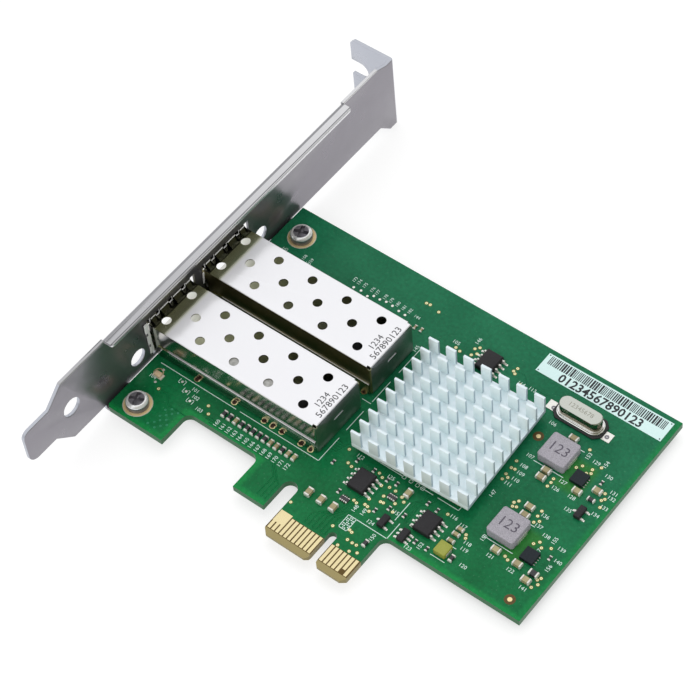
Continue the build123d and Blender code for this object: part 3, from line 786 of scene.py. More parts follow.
# %% Vias
via_places = [
    (47.9, 25.1), (49.7, 22.4), (50.8, 22.1), (56.3, 24.1), (57.4, 23.6), (58.4, 22.0), (60.0, 22.6),
    (61.5, 22.6), (60.3, 20.3), (60.6, 18.9), (61.2, 19.0), (56.1, 16.1), (56.9, 15.9), (58.5, 16.6),
    (59.2, 16.5), (60.1, 15.8), (58.4, 18.1), (53.9, 14.95), (55.0, 14.9), (56.4, 9.0), (59.7, 10.2),
    (60.35, 10.0), (60.7, 8.2), (61.9, 8.15), (62.9, 8.2), (62.6, 6.3), (64.1, 6.9), (59.9, 6.1),
    (46.2, 8.45), (63.2, 20.2), (64.4, 21.5), (63.4, 22.2), (64.0, 18.4), (6.6, 14.0), (17.8, 16.7),
    (19.1, 15.15), (50.2, 57.8), (51.4, 57.5), (53.6, 59.8), (54.7, 59.0), (53.9, 58.1), (54.3, 60.6),
    (63.4, 59.8), (63.7, 60.8), (64.0, 59.4), (66.4, 57.8), (38.3, 63.5), (39.2, 63.6), (41.8, 63.1),
    (82.0, 34.1), (82.6, 34.9), (82.3, 33.2), (83.0, 33.5), (85.1, 43.1), (85.2, 42.1), (85.1, 41.0),
    (87.6, 35.6), (87.6, 34.2), (87.8, 32.6), (88.6, 33.4), (90.1, 49.3), (88.0, 48.9), (87.2, 47.9),
    (91.3, 50.7), (87.0, 52.9), (90.4, 48.4), (92.4, 28.7), (90.6, 28.6), (88.7, 22.7), (87.8, 23.1),
    (95.9, 20.4), (96.3, 23.1), (95.9, 22.4), (96.6, 21.6), (96.3, 42.9), (95.3, 46.1), (96.0, 45.0),
    (95.6, 44.4), (94.0, 29.7), (73.1, 24.3), (78.8, 22.6), (79.2, 21.9), (91.4, 29.6), (89.6, 47.9),
    (76.7, 42.3), (76.8, 40.4), (77.6, 40.5), (76.8, 38.6), (77.6, 38.1), (76.9, 37.2)
]
via = ring("via", 0, 0, 0.31, 0.1, 0.002, 0.03, 12)
settle(scatter(via, "vias", via_places), via_metal, "gold")
halo = ring("via halo", 0, 0, 0.44, 0.28, 0.001, 0.006, 12)
halo_brown = moulded("clearance ring", (0.10, 0.10, 0.012), (0.14, 0.13, 0.02), 0.5, 4.0)
settle(scatter(halo, "via_halos", via_places), halo_brown, "board_green")

# %% Vias under the mask
faint = ring("faint via", 0, 0, 0.26, 0.1, 0.002, 0.02, 8)
faint_places = [
    (11.2, 10.8), (12.2, 11.7), (11.3, 9.0), (12.2, 9.9), (13.0, 10.8), (13.9, 11.7), (11.3, 7.2),
    (12.0, 8.2), (13.0, 9.0), (10.4, 6.2), (12.2, 6.2), (13.0, 7.2), (13.9, 8.1)
]
settle(scatter(faint, "covered_vias", faint_places), faint_finish, "board_green")

# %% Rings and holes for the cage pins
cage_middles = (27.65, 45.15)
pin_row_from_middle = 7.145
pin_columns = (11.6, 21.6, 29.5, 31.7, 34.15, 39.1, 41.6)
ring_places = []
for middle_y in cage_middles:
    for side in (-1, 1):
        ring_places += [(x, middle_y + side * pin_row_from_middle) for x in pin_columns]
pin_ring = ring("pin ring", 0, 0, 0.74, 0.52, 0.002, 0.04, 20)
settle(scatter(pin_ring, "pin_rings", ring_places), gold_metal, "gold")
# dark brown discs in the pin rings, painted shade inside the open holes
hole_brown = moulded("plated hole", (0.035, 0.010, 0.004), (0.06, 0.02, 0.008), 0.6, 4.0)
hole = soften(rod("hole", 0, 0, 0.54, 0.001, 0.015, 20), 0.005, 1)
settle(scatter(hole, "pin_holes", ring_places), hole_brown, "board_green")

# %% Screw lands
screw_places = ((5.6, 8.6), (5.6, 62.3))
land = ring("screw land", 0, 0, 3.15, 1.66, 0.002, 0.04, 48)
land_edge = ring("land edge", 0, 0, 3.2, 3.08, 0.002, 0.05, 48)
settle(scatter(land_edge, "land_edges", screw_places), solder_metal, "gold")
settle(scatter(land, "screw_lands", screw_places), land_metal, "gold")

# %% [markdown]
# Two aiming marks guide the machine that places the parts. Each is a gold dot in a ring of bare
# laminate.

# %% Aiming marks
mark_places = ((94.15, 15.85), (76.8, 49.65))
mark_ring = ring("mark ring", 0, 0, 1.15, 0.55, 0.002, 0.012, 32)
bare_brown = moulded("bare laminate", (0.075, 0.040, 0.006), (0.12, 0.07, 0.012), 0.5, 4.0)
settle(scatter(mark_ring, "aiming_mark_rings", mark_places), bare_brown, "board_green")
mark_dot = soften(rod("mark dot", 0, 0, 0.5, 0.001, 0.03, 24), 0.01, 1)
settle(scatter(mark_dot, "aiming_marks", mark_places), land_metal, "gold")

# %% [markdown]
# ## The bracket and its screws
# The bracket is one sheet of plated steel. It could be folded again from a plane, but the solid
# already has its bends and holes, so a copy of it gets the small rounding that a punched and tumbled
# edge has. The long bend at its lip needs a larger radius than the solid's: a bar with a round bar
# cut out of it takes the corner away.

# %% Bracket
lip_start = 8.4
lip_end = 86.0
lip_top = 17.5
bend_radius = 1.2
bend_x = bend_radius - 0.86


def lying_rod(name, x, z, radius, y0, y1, sides=48):
    """A round bar that lies along the bracket."""
    clear_selection()
    bpy.ops.mesh.primitive_cylinder_add(vertices=sides, radius=radius * mm, depth=(y1 - y0) * mm,
                                        location=spot(x, (y0 + y1) / 2, z), rotation=(math.pi / 2, 0, 0))
    piece = bpy.context.object
    piece.name = name
    apply_place(piece)
    return piece


steel = refine("bracket", "steel_bracket", 0.12)
waste = bar("waste", (-1.5, lip_start, lip_top - bend_radius), (bend_x, lip_end, lip_top + 0.5))
cut_away(waste, lying_rod("bend", bend_x, lip_top - bend_radius, bend_radius, lip_start - 1, lip_end + 1))
cut_away(steel, waste)
only(steel)
bpy.ops.object.shade_smooth_by_angle(angle=math.radians(40))
settle(steel, bracket_metal, "bracket_steel", "bracket")


# %% [markdown]
# A pan-head screw is a short rod with a domed rim and a cross pressed into it. Two crossed bars and a
# round well are cut out of the head; the faces that they leave and the head's upright side get a darker
# metal, as painted shade.

# %% Screws
head_radius = 2.45
head_top = 1.95
arm_reach = 1.7
arm_half = 0.46
arm_floor = 0.85
cross_turn = 20
well_radius = 0.8


def recess_arm(turn):
    """One bar of the cross, turned about the screw's middle."""
    arm = bar("arm", (-arm_reach, -arm_half, arm_floor), (arm_reach, arm_half, 2.3))
    edit_all(arm)
    bpy.ops.mesh.bevel(offset=0.25 * mm, segments=2)
    end_edit()
    middle = spot(0, 0)
    arm.data.transform(Matrix.Translation(middle) @ Matrix.Rotation(math.radians(turn), 4, "Z")
                       @ Matrix.Translation(-middle))
    return arm


def pan_screw():
    """A pan head with a cross recess on a short shank."""
    head = rod("pan screw", 0, 0, head_radius, 0.04, head_top, 48)
    select_faces(head, lambda face: face.normal.z > 0.9)
    bpy.ops.mesh.bevel(offset=0.75 * mm, segments=6, affect="EDGES")
    end_edit()
    for turn in (0, 90):
        cut_away(head, recess_arm(turn + cross_turn))
    cut_away(head, rod("well", 0, 0, well_radius, 0.7, 2.4, 20))
    soften(head, 0.15, 1, 50)
    for finish in (screw_metal, recess_metal):
        head.data.materials.append(finish)
    middle = spot(0, 0)
    # faces in the cross and on the head's upright side get the dark finish, as painted shade
    for face in head.data.polygons:
        away = (face.center - middle).to_2d().length
        sloped = 0.3 < face.normal.z < 0.97
        on_cross_rim = sloped and face.center.z > 1.8 * mm
        if away < 1.72 * mm and face.center.z > 0.5 * mm and not on_cross_rim:
            face.material_index = 1
        if away > 2.2 * mm and face.normal.z < 0.35:
            face.material_index = 1
    shank = soften(rod("shank", 0, 0, 1.47, -3.9, 0.06, 32), 0.25, 2)
    head = join([head, shank], "pan screw")
    only(head)
    bpy.ops.object.shade_smooth_by_angle(angle=math.radians(35))
    return head


screws = scatter(pan_screw(), "pan_head_screws", screw_places)
settle(screws, screw_metal, "screw_steel", "mounting_screws", second=recess_metal)

# %% [markdown]
# ## The module cages
# A cage cover is one sheet folded over three sides. It could be cut from a block, but then its wall
# would have to be hollowed out. Here it starts as a bar, loses its front and bottom faces, gets its
# folds rounded, and only then takes the thickness of the sheet. Fourteen vents, a rear slit and two
# corner reliefs are punched out of it, and the faces that look inward get the unlit finish.

# %% Places of the vents
sheet = 0.25
vent_first = 2.05
vent_pitch = 4.51
vent_offset = 4.0
vent_radius = 1.05
vent_places = []
for row in range(9):
    for offset in ((0,) if row % 2 else (-vent_offset, vent_offset)):
        vent_places.append((vent_first + vent_pitch * row, offset))
print("vents in each cover", len(vent_places))


# %% Cage covers
def folded_sheet(name, low, high):
    """A bar without its front and bottom, with rounded folds and the thickness of the sheet."""
    cover = bar(name, low, high)
    select_faces(cover, lambda face: face.normal.x < -0.9 or face.normal.z < -0.9)
    bpy.ops.mesh.delete(type="FACE")
    end_edit()
    soften(cover, 0.35, 3)
    wall = cover.modifiers.new("sheet", "SOLIDIFY")
    wall.thickness = sheet * mm
    wall.offset = -1
    bpy.ops.object.modifier_apply(modifier="sheet")
    return cover


def punch(cover, low, high):
    """Punches the vents, the rear slit and the corner reliefs."""
    middle_y = (low[1] + high[1]) / 2
    top = high[2]
    rear = high[0]
    tools = [rod("punch", x, middle_y + y, vent_radius, top - 1, top + 1, 28) for x, y in vent_places]
    cut_away(cover, join(tools, "punches"))
    cut_away(cover, bar("slit", (rear - 1, middle_y - 1.4, 5.4), (rear + 1, middle_y + 1.4, 5.9)))
    for side in (low[1], high[1]):
        relief_low = (rear - 0.9, side - 0.45, top - 0.8)
        relief_high = (rear + 1, side + 0.45, top + 1)
        cut_away(cover, bar("relief", relief_low, relief_high))


def cage_cover(node, name):
    """The folded and punched cover of one cage."""
    low, high = drawn(node)
    cover = folded_sheet(name, low, high)
    punch(cover, low, high)
    for finish in (cage_metal, inner_sheet):
        cover.data.materials.append(finish)
    inside_low = spot(low[0] - 1, low[1] + 0.9 * sheet, 0)
    inside_high = spot(high[0] - 0.9 * sheet, high[1] - 0.9 * sheet, high[2] - 0.9 * sheet)
    for face in cover.data.polygons:
        if all(inside_low[i] < face.center[i] < inside_high[i] for i in range(3)):
            face.material_index = 1
    only(cover)
    bpy.ops.object.shade_smooth_by_angle(angle=math.radians(30))
    return cover


def cage_tray(node, name, cover_low, cover_high):
    """The tray under a cover; its faces between the cover's walls are unlit."""
    tray = refine(node, name, 0.05, 1)
    for finish in (cage_metal, inner_sheet):
        tray.data.materials.append(finish)
    inner_low = spot(0, cover_low[1] + sheet).y
    inner_high = spot(0, cover_high[1] - sheet).y
    for face in tray.data.polygons:
        if inner_low < face.center.y < inner_high:
            face.material_index = 1
    return tray


# %% [markdown]
# Spring fingers arch over each cage's nose, to touch the bracket all round the port. The solids have
# the arches. Each arch gets a thin bright strip bent along its edge, and each flat one along its top:
# painted highlights where the light catches them.

# %% Spring strips
finger_middles = ((-5.55, 0.75), (-2.025, 1.275), (2.025, 1.275), (5.55, 0.75))
arch_x = -0.47
arch_foot = 9.52
arch_top = 10.74


def spring_wire(name, places, width, flat=1.0):
    """One spring strip, pressed to a share of its depth along X."""
    pivot = spot(places[0][0], 0)
    piece = bent_strips(name, [places], width, (flat, 1, 1), pivot, 1, True)
    bpy.ops.object.shade_smooth_by_angle(angle=math.radians(40))
    return piece


def arch_edges(name, middle_y):
    """Painted highlight strips on the edges and flats of one cage's upper fingers."""
    bends = []
    edges = []
    for finger, half in finger_middles:
        y = middle_y + finger
        for side, z in ((-half, arch_foot), (-half, arch_top), (half, arch_top), (half, arch_foot)):
            bends.append((arch_x, y + side, z))
        edges.append(spring_wire("flat", [(-0.14, y - half, 10.66), (-0.14, y + half, 10.66)], 0.26))
    edges.append(spring_wire("bends", bends, 0.24))
    return join(edges, name)


# %% Both cages
pair = ("lower", "upper")
for place_name in pair:
    node = f"cage_cover_{place_name}"
    cover_low, cover_high = drawn(node)
    cover = cage_cover(node, f"vented_cover_{place_name}")
    settle(cover, cage_metal, "cage_steel", node, second=inner_sheet)
    node = f"cage_tray_{place_name}"
    tray = cage_tray(node, f"pressed_tray_{place_name}", cover_low, cover_high)
    settle(tray, cage_metal, "cage_steel", node, second=inner_sheet)
    node = f"spring_fingers_{place_name}"
    settle(refine(node, f"arched_fingers_{place_name}", 0.03, 1), spring_metal, "cage_steel", node)
    middle_y = (cover_low[1] + cover_high[1]) / 2
    settle(arch_edges(f"arch_edges_{place_name}", middle_y), strip_metal, "cage_steel")
    dress(f"module_connector_{place_name}", connector_black)
    dress(f"connector_tails_{place_name}", tin_metal)

# %% [markdown]
# Beside the ports stand two wider springs with small square holes, drawn as dark bars of painted
# shade. Two pale discs lie just under the lower cover, as a painted glint seen through two of its vents.

# %% Side springs and painted vent glints
wide_spring = [(0.3, 19.4, 11.2), (0.3, 19.35, 9.2), (0.3, 19.6, 7.0), (0.3, 19.55, 5.0),
               (0.3, 19.7, 3.0), (0.3, 19.6, 1.6)]
narrow_spring = [(0.3, 37.4, 9.6), (0.3, 37.3, 8.0), (0.3, 37.1, 6.4)]
side_springs = [spring_wire("side spring", wide_spring, 1.25, 0.2),
                spring_wire("side spring", narrow_spring, 0.55, 0.2)]
settle(join(side_springs, "side_springs"), strip_metal, "cage_steel")
# dark bars for the springs' holes, as painted shade
spring_holes = [bar("hole", (0.38, 18.95, 7.6), (0.45, 19.4, 8.3)),
                bar("hole", (0.38, 19.1, 3.9), (0.45, 19.5, 4.6))]
settle(join(spring_holes, "spring_holes"), recess_metal, "cage_steel")
# pale discs under two vents, a painted glint seen through them
tab = soften(rod("tab", 0, 0, 1.2, 8.92, 9.04, 24), 0.03, 1)
glint_places = [(vent_first + vent_pitch * row - 0.3, cage_middles[0] - 3.7) for row in (4, 6)]
glint_finish = moulded("painted vent glint", (0.30, 0.30, 0.28), (0.52, 0.52, 0.50), 0.45, 1.0, 0.02)
settle(scatter(tab, "vent_glint_discs", glint_places), glint_finish, "cage_steel")

# %% [markdown]
# ## The heat sink
# The sink is extruded and then sawn across, which leaves rows of flat pins. Two arrays could repeat
# one pin along both sides, but one loop over the grid does it in a single step. One pin is drawn and
# slimmed by what the saw takes away, its edges are rounded, and it is copied to each place. The whole
# sink sits a little askew on its tape, as glued ones do.

# %% Heat sink
sink_size = 28.0
sink_half = sink_size / 2
sink_low = 2.0
sink_floor = 3.1
sink_high = 7.2
sink_x = 62.05
sink_y = 39.6
sink_askew = 2.5
pin_half_length = 1.22
pin_half_thickness = 0.34
columns = 7
rows = 10


def sink_pin():
    """One flat pin, slimmed by what the saw takes."""
    pin = bar("pin", (-pin_half_length, -pin_half_thickness, sink_floor - 0.1),
              (pin_half_length, pin_half_thickness, sink_high))
    edit_all(pin)
    bpy.ops.transform.resize(value=(0.98, 0.86, 1), center_override=spot(0, 0, sink_high))
    end_edit()
    return soften(pin, 0.09, 2)


pin_places = []
for column in range(columns):
    for row in range(rows):
        x = -sink_half + pin_half_length + column * (sink_size - 2 * pin_half_length) / (columns - 1)
        y = -sink_half + pin_half_thickness + row * (sink_size - 2 * pin_half_thickness) / (rows - 1)
        pin_places.append((x, y))
pins = scatter(sink_pin(), "pins", pin_places)
plate = soften(bar("plate", (-sink_half, -sink_half, sink_low), (sink_half, sink_half, sink_floor)), 0.12, 2)
sink = join([plate, pins], "pin_fin_heat_sink")
turn = Matrix.Rotation(math.radians(sink_askew), 4, "Z")
sink.data.transform(Matrix.Translation(spot(sink_x, sink_y)) @ turn @ Matrix.Translation(-spot(0, 0)))
settle(sink, sink_finish, "sink_aluminium", "heat_sink")

# %% [markdown]
# ## The controller under it
# Only its amber edge and its outermost solder balls can be seen, so only the outer ring of balls is
# made. A ball is a sphere primitive squashed a little where it has wetted the board.

# %% Controller
dress("controller_substrate", substrate_amber)
dress("controller_cap", chip_black)
dress("thermal_tape", tape_grey)
ball_pitch = 1.0
balls_on_side = 24
clear_selection()
bpy.ops.mesh.primitive_uv_sphere_add(segments=10, ring_count=6, radius=0.25 * mm, location=spot(0, 0, 0.19))
ball = bpy.context.object
ball.scale = (1, 1, 0.75)
apply_place(ball)
bpy.ops.object.shade_smooth()
chip_low, chip_high = drawn("controller_substrate")
ball_places = []
for i in range(balls_on_side):
    step = chip_low[0] + ball_pitch + i
    run = chip_low[1] + ball_pitch + i
    ball_places += [(step, chip_low[1] + ball_pitch), (step, chip_high[1] - ball_pitch)]
    if 0 < i < balls_on_side - 1:
        ball_places += [(chip_low[0] + ball_pitch, run), (chip_high[0] - ball_pitch, run)]
settle(scatter(ball, "solder_balls", ball_places), solder_metal, "tin", "controller_solder")

# %% [markdown]
# ## Crystal, inductors and moulded chips
# The crystal's oval can could be two half cylinders and a box between them. A bar whose upright
# edges are bevelled almost to its middle gives the same oval in one step. The flange gets a pressed
# step, and each lead a small round mark.

# %% Crystal
can_low, can_high = drawn("crystal_can")
full_round = 0.98


def oval(name, low, high, rim):
    """A bar whose upright edges are rounded to a full oval, with a rounded top rim."""
    piece = bar(name, low, high)
    only(piece)
    bpy.ops.object.mode_set(mode="EDIT")
    bpy.ops.mesh.select_mode(type="EDGE")
    bpy.ops.mesh.select_all(action="DESELECT")
    bpy.ops.object.mode_set(mode="OBJECT")
    for edge in piece.data.edges:
        a, b = (piece.data.vertices[i].co for i in edge.vertices)
        edge.select = abs(a.z - b.z) > 0.1 * mm
    bpy.ops.object.mode_set(mode="EDIT")
    bpy.ops.mesh.bevel(offset=(high[1] - low[1]) / 2 * full_round * mm, segments=12, affect="EDGES")
    bpy.ops.mesh.select_mode(type="VERT")
    bpy.ops.object.mode_set(mode="OBJECT")
    return soften(piece, rim, 4, 60)


flange_top = can_low[2] + 0.35
flange = oval("flange", can_low, (can_high[0], can_high[1], flange_top), 0.16)
step = oval("step", (can_low[0] + 0.3, can_low[1] + 0.36, flange_top - 0.12),
            (can_high[0] - 0.3, can_high[1] - 0.36, flange_top + 0.1), 0.04)
cut_away(flange, step)
end_inset = 0.55
side_inset = 0.65
shell = oval("shell", (can_low[0] + end_inset, can_low[1] + side_inset, flange_top - 0.2),
             (can_high[0] - end_inset, can_high[1] - side_inset, can_high[2]), 0.24)
settle(join([flange, shell], "oval_crystal_can"), crystal_metal, "crystal_steel", "crystal_can")
seat = refine("crystal_seat", "moulded_crystal_seat", 0.1)
settle(seat, connector_black, "connector_black", "crystal_seat")
dress("crystal_leads", solder_metal)
can_x = (can_low[0] + can_high[0]) / 2
can_y = (can_low[1] + can_high[1]) / 2
lead_top = drawn("crystal_leads")[1][2]
lead_marks = [ring("lead mark", x, y, 0.5, 0.15, lead_top + 0.002, lead_top + 0.04, 16)
              for x, y in ((75.37, 56.97), (88.08, 57.26))]
settle(join(lead_marks, "lead_marks"), recess_metal, "tin")

# %% [markdown]
# Moulded and pressed bodies always have a small radius, which a mould or a die leaves. The solids have
# sharp edges to stay light, so a copy of each is cleaned and gets its own radius here.

# %% Softened copies
def finer(node, name, width, finish, slot, segments=2):
    """Replaces a solid with a softened copy in its own finish."""
    settle(refine(node, name, width, segments), finish, slot, node)


for place_name in pair:
    node = f"inductor_{place_name}"
    finer(node, f"pressed_{node}", 0.18, inductor_grey, "inductor_grey", 3)
    dress(f"inductor_terminals_{place_name}", tin_metal)
    dress(f"regulator_{place_name}", regulator_black)
    finer(f"port_light_{place_name}", f"light_lens_{place_name}", 0.12, light_lens, "lens_amber")
    dress(f"port_light_base_{place_name}", light_base_white)
chips = ("memory", "monitor", "driver")
for chip in chips:
    finer(f"{chip}_chip", f"{chip}_moulding", 0.07, chip_black, "chip_black")
    finer(f"{chip}_leads", f"{chip}_gull_leads", 0.04, tin_metal, "tin", 1)
finer("transistor_bodies", "transistor_mouldings", 0.08, chip_black, "chip_black")
finer("tantalum_capacitor", "tantalum_moulding", 0.12, tantalum_yellow, "tantalum_yellow")
finer("capacitor_bodies", "ceramic_bodies", 0.05, capacitor_tan, "ceramic_tan", 1)
finer("resistor_bodies", "resistor_mouldings", 0.04, resistor_dark, "resistor_dark", 1)
finer("capacitor_ends", "capacitor_caps", 0.08, tin_metal, "tin")
finer("resistor_ends", "resistor_caps", 0.05, tin_metal, "tin", 1)
for node in ("transistor_leads", "tantalum_terminals", "regulator_pads"):
    dress(node, tin_metal)

# %% [markdown]
# ## Solder
# Each metal end of a chip part sits on a little solder. One lump is a bar that is drawn in toward the
# middle of its end, and every end of every part gets a copy of its own size, found from the solids.

# %% Solder lumps
solder_out = 0.45
solder_side = 0.12


def solder_lump(low, high, way):
    """A lump at one metal end; way is the direction out of the part."""
    top = low[2] + 0.7 * (high[2] - low[2])
    a = [low[0] - solder_side, low[1] - solder_side, 0.005]
    b = [high[0] + solder_side, high[1] + solder_side, top]
    axis = 0 if abs(way[0]) > abs(way[1]) else 1
    if way[axis] > 0:
        b[axis] = high[axis] + solder_out
    else:
        a[axis] = low[axis] - solder_out
    share = [0.9, 0.9, 1]
    share[axis] = 0.35
    lump = bar("lump", a, b)
    edit_all(lump)
    pull = spot((low[0] + high[0]) / 2, (low[1] + high[1]) / 2, top)
    bpy.ops.transform.resize(value=share, center_override=pull)
    end_edit()
    return soften(lump, 0.06, 2)


lumps = []
for bodies, ends in (("capacitor_bodies", "capacitor_ends"), ("resistor_bodies", "resistor_ends")):
    middles = [middle_of(low, high) for low, high in islands(bodies)]
    for low, high in islands(ends):
        here = middle_of(low, high)
        body = min(middles, key=lambda m: (m - here).length)
        lumps.append(solder_lump(low, high, here - body))
settle(join(lumps, "solder_wedges"), solder_metal, "tin")

# %% [markdown]
# The leads of the moulded chips stand on pads that reach out a little past their feet. Which way is
# out depends on the chip, so each lead looks for the body that is nearest to it.

# %% Pads under the gull leads
pad_reach = 0.32
pads = []
bodies = [drawn(f"{chip}_chip") for chip in chips] + islands("transistor_bodies")
leads = [lead for chip in chips for lead in islands(f"{chip}_leads")]
for low, high in leads + islands("transistor_leads"):
    here = middle_of(low, high).to_2d()
    body = min(bodies, key=lambda b: (middle_of(*b).to_2d() - here).length)
    away = here - middle_of(*body).to_2d()
    along_x = abs(away.x) / (body[1][0] - body[0][0])
    along_y = abs(away.y) / (body[1][1] - body[0][1])
    axis = 0 if along_x > along_y else 1
    a = [low[0] - 0.02, low[1] - 0.02, 0.004]
    b = [high[0] + 0.02, high[1] + 0.02, 0.06]
    if away[axis] > 0:
        b[axis] = high[axis] + pad_reach
    else:
        a[axis] = low[axis] - pad_reach
    pads.append(soften(bar("lead pad", a, b), 0.02, 1))
settle(join(pads, "lead_pads"), solder_metal, "tin")

# %% [markdown]
# Two of the small parts are arrays: one body with four resistors side by side. Their solid ends are
# parted by thin dark bars, which show where one terminal stops and the next begins.

# %% Gaps between the ends of the resistor arrays
array_places = ((54.4, 15.2), (62.0, 20.9))
array_reach = 1.6
gap_half = 0.07
gaps = []
for low, high in islands("resistor_ends"):
    here = middle_of(low, high).to_2d()
    if min((here - Vector(place)).length for place in array_places) < array_reach:
        axis = 0 if high[0] - low[0] > high[1] - low[1] else 1
        for share in (0.25, 0.5, 0.75):
            at = low[axis] + share * (high[axis] - low[axis])
            a = [low[0] - 0.3, low[1] - 0.3, 0.05]
            b = [high[0] + 0.3, high[1] + 0.3, high[2] + 0.01]
            a[axis] = at - gap_half
            b[axis] = at + gap_half
            gaps.append(bar("gap", a, b))
settle(join(gaps, "array_gaps"), chip_black, "resistor_dark")

# %% [markdown]
# ## The paper label and the printed legend
# The label is thin paper with bars and plain digits. Printing could be an image, but thin pieces of
# ink stay sharp at any size. The widths of the bars come from a short cycle, so they mean nothing.

# %% Label
label_paper = moulded("label paper", (0.68, 0.90, 0.88), (0.72, 0.93, 0.91), 0.55, 3.0, 0.003, 0.3)
label_ink = moulded("label ink", (0.010, 0.012, 0.018), (0.018, 0.020, 0.026), 0.5, 8.0, 0.002)
label_low, label_high = drawn("paper_label")
label = refine("paper_label", "printed_label", 0.03, 1)
settle(label, label_paper, "label_white", "paper_label")

# %% Bars and corner marks
print_low = label_high[2] - 0.01
print_high = label_high[2] + 0.012
margin = 1.0
bar_widths = (0.18, 0.30, 0.18, 0.44, 0.24)
bar_gaps = (0.16, 0.26, 0.20)
bars = []
x = label_low[0] + margin
for i in range(80):
    width = bar_widths[(i * 7 + i // 3) % 5]
    if x + width < label_high[0] - margin:
        bars.append(bar("bar", (x, 65.25, print_low), (x + width, 67.45, print_high)))
    x += width + bar_gaps[(i * 5 + i // 4) % 3]
for x in (label_low[0] + 0.45, label_high[0] - 0.45):
    for y in (label_low[1] + 0.4, label_high[1] - 0.4):
        bars.append(bar("corner mark", (x - 0.14, y - 0.14, print_low), (x + 0.14, y + 0.14, print_high)))
print("bars and marks", len(bars))


# %% Digits
def digits(name, text, x, y, z, size, turn=0.0, depth=0.01, bold=0.0):
    """Plain digits lying on a face, made a mesh; bold widens their strokes by so many millimetres."""
    clear_selection()
    bpy.ops.object.text_add(location=spot(x, y, z), rotation=(0, 0, math.radians(turn)))
    piece = bpy.context.object
    piece.data.body = text
    piece.data.size = size * mm
    piece.data.extrude = depth * mm
    piece.data.offset = bold * mm
    piece.data.resolution_u = 2
    piece.data.align_x = "CENTER"
    piece.data.align_y = "CENTER"
    bpy.ops.object.convert(target="MESH")
    piece = bpy.context.object
    piece.name = name
    apply_place(piece)
    return piece


label_digits = digits("label digits", "01234567890123", 82.0, 63.8, label_high[2] + 0.002, 2.9, bold=0.07)
settle(join(bars + [label_digits], "label_print"), label_ink, "label_white")


# %% [markdown]
# The legend on the board is ink: outlines round the parts and short plain numbers, only a hair thick.
# It lies where the real one does, to show which way each part faces.

# %% Legend lines
def ink_line(x0, y0, x1, y1, width=0.16):
    """A straight printed line along X or Y."""
    half = width / 2
    low = (min(x0, x1) - half, min(y0, y1) - half, 0.003)
    high = (max(x0, x1) + half, max(y0, y1) + half, 0.02)
    return bar("ink", low, high)


legend_lines = [(2.7, 19.35, 22.9, 19.35), (24.1, 19.35, 44.5, 19.35), (44.5, 19.35, 44.5, 26.0)]
legend_lines += [(44.5, 28.5, 44.5, 34.0), (44.5, 37.0, 44.5, 43.0), (44.5, 46.0, 44.5, 53.4)]
legend_lines += [(42.4, 36.4, 44.5, 36.4), (57.3, 12.85, 66.8, 12.85), (66.8, 12.85, 66.8, 17.0)]
legend_lines += [(65.5, 17.2, 65.5, 22.0), (50.6, 26.2, 60.6, 26.2), (65.0, 26.2, 68.0, 26.2)]
legend_lines += [(69.3, 26.2, 74.3, 26.2), (74.3, 26.2, 74.3, 27.2), (48.9, 52.4, 48.9, 50.5)]
legend_lines += [(48.9, 52.4, 51.0, 52.4), (74.4, 52.4, 74.4, 50.0), (57.35, 12.8, 57.35, 9.6)]
legend_lines += [(57.35, 9.6, 59.3, 9.6), (59.3, 9.6, 59.3, 12.8)]
ink = [ink_line(x0, y0, x1, y1) for x0, y0, x1, y1 in legend_lines]

# %% Checked box and pad frames
cell = 0.43
for i in range(4):
    for j in range(7):
        if (i * 7 + j * 5 + i * j) % 3:
            x = 57.68 + cell * i
            y = 9.9 + cell * j
            ink.append(ink_line(x, y, x + 0.12, y + 0.08, 0.16))
for x in (60.9, 62.6, 64.2, 65.5):
    for side in (-0.35, 0.35):
        ink.append(ink_line(x + side, 25.85, x + side, 26.55, 0.12))
        ink.append(ink_line(x - 0.35, 26.2 + side, x + 0.35, 26.2 + side, 0.12))
for low, high in (drawn("inductor_lower"), drawn("inductor_upper"), drawn("tantalum_capacitor")):
    for y in (low[1] - 0.45, high[1] + 0.45):
        ink.append(ink_line(low[0] - 0.3, y, high[0] + 0.3, y))
for x, y in ((9.5, 18.2), (11.7, 16.8), (13.9, 15.4)):
    for side in (-0.75, 0.75):
        ink.append(ink_line(x + side, y - 0.5, x + side, y + 0.5, 0.12))
        ink.append(ink_line(x + side, y + 0.66 * side, x + side * 0.4, y + 0.66 * side, 0.12))
print("legend lines", len(ink))

# %% Legend numbers
flat_places = [
    (13.1, 18.1), (14.3, 16.7), (16.8, 14.8), (3.5, 15.7), (49.5, 58.9), (77.3, 53.8), (78.2, 44.8),
    (78.6, 42.1), (79.1, 40.3), (79.1, 38.5), (78.5, 36.9), (50.8, 25.0), (69.2, 58.2), (66.5, 58.1),
    (64.4, 18.6), (74.5, 24.4), (77.1, 23.8), (80.2, 21.1), (80.5, 19.6), (82.5, 16.5), (85.4, 21.4),
    (90.4, 21.1), (71.3, 13.6), (61.9, 13.9), (58.8, 24.6), (86.7, 41.4), (87.0, 43.5), (90.4, 41.6),
    (89.8, 51.1), (93.7, 49.7), (96.7, 47.1), (97.0, 45.8), (97.0, 43.2), (96.5, 40.9), (91.5, 38.8),
    (88.8, 35.0), (89.1, 32.4), (91.6, 31.4), (95.8, 30.6), (96.8, 27.9), (94.7, 19.2), (4.7, 57.7),
    (11.2, 57.3), (38.9, 59.4)
]
upright_places = [
    (43.7, 52.8), (53.1, 61.8), (77.4, 33.3), (57.5, 14.7), (59.4, 15.0), (64.4, 11.4), (82.0, 24.1),
    (73.1, 15.3), (87.7, 51.5), (91.7, 51.8), (93.6, 31.5), (96.2, 25.7), (92.4, 27.4), (9.6, 58.3),
    (11.4, 58.3)
]
upright_places += [(21.95 + 1.525 * i, 14.4) for i in range(13)]
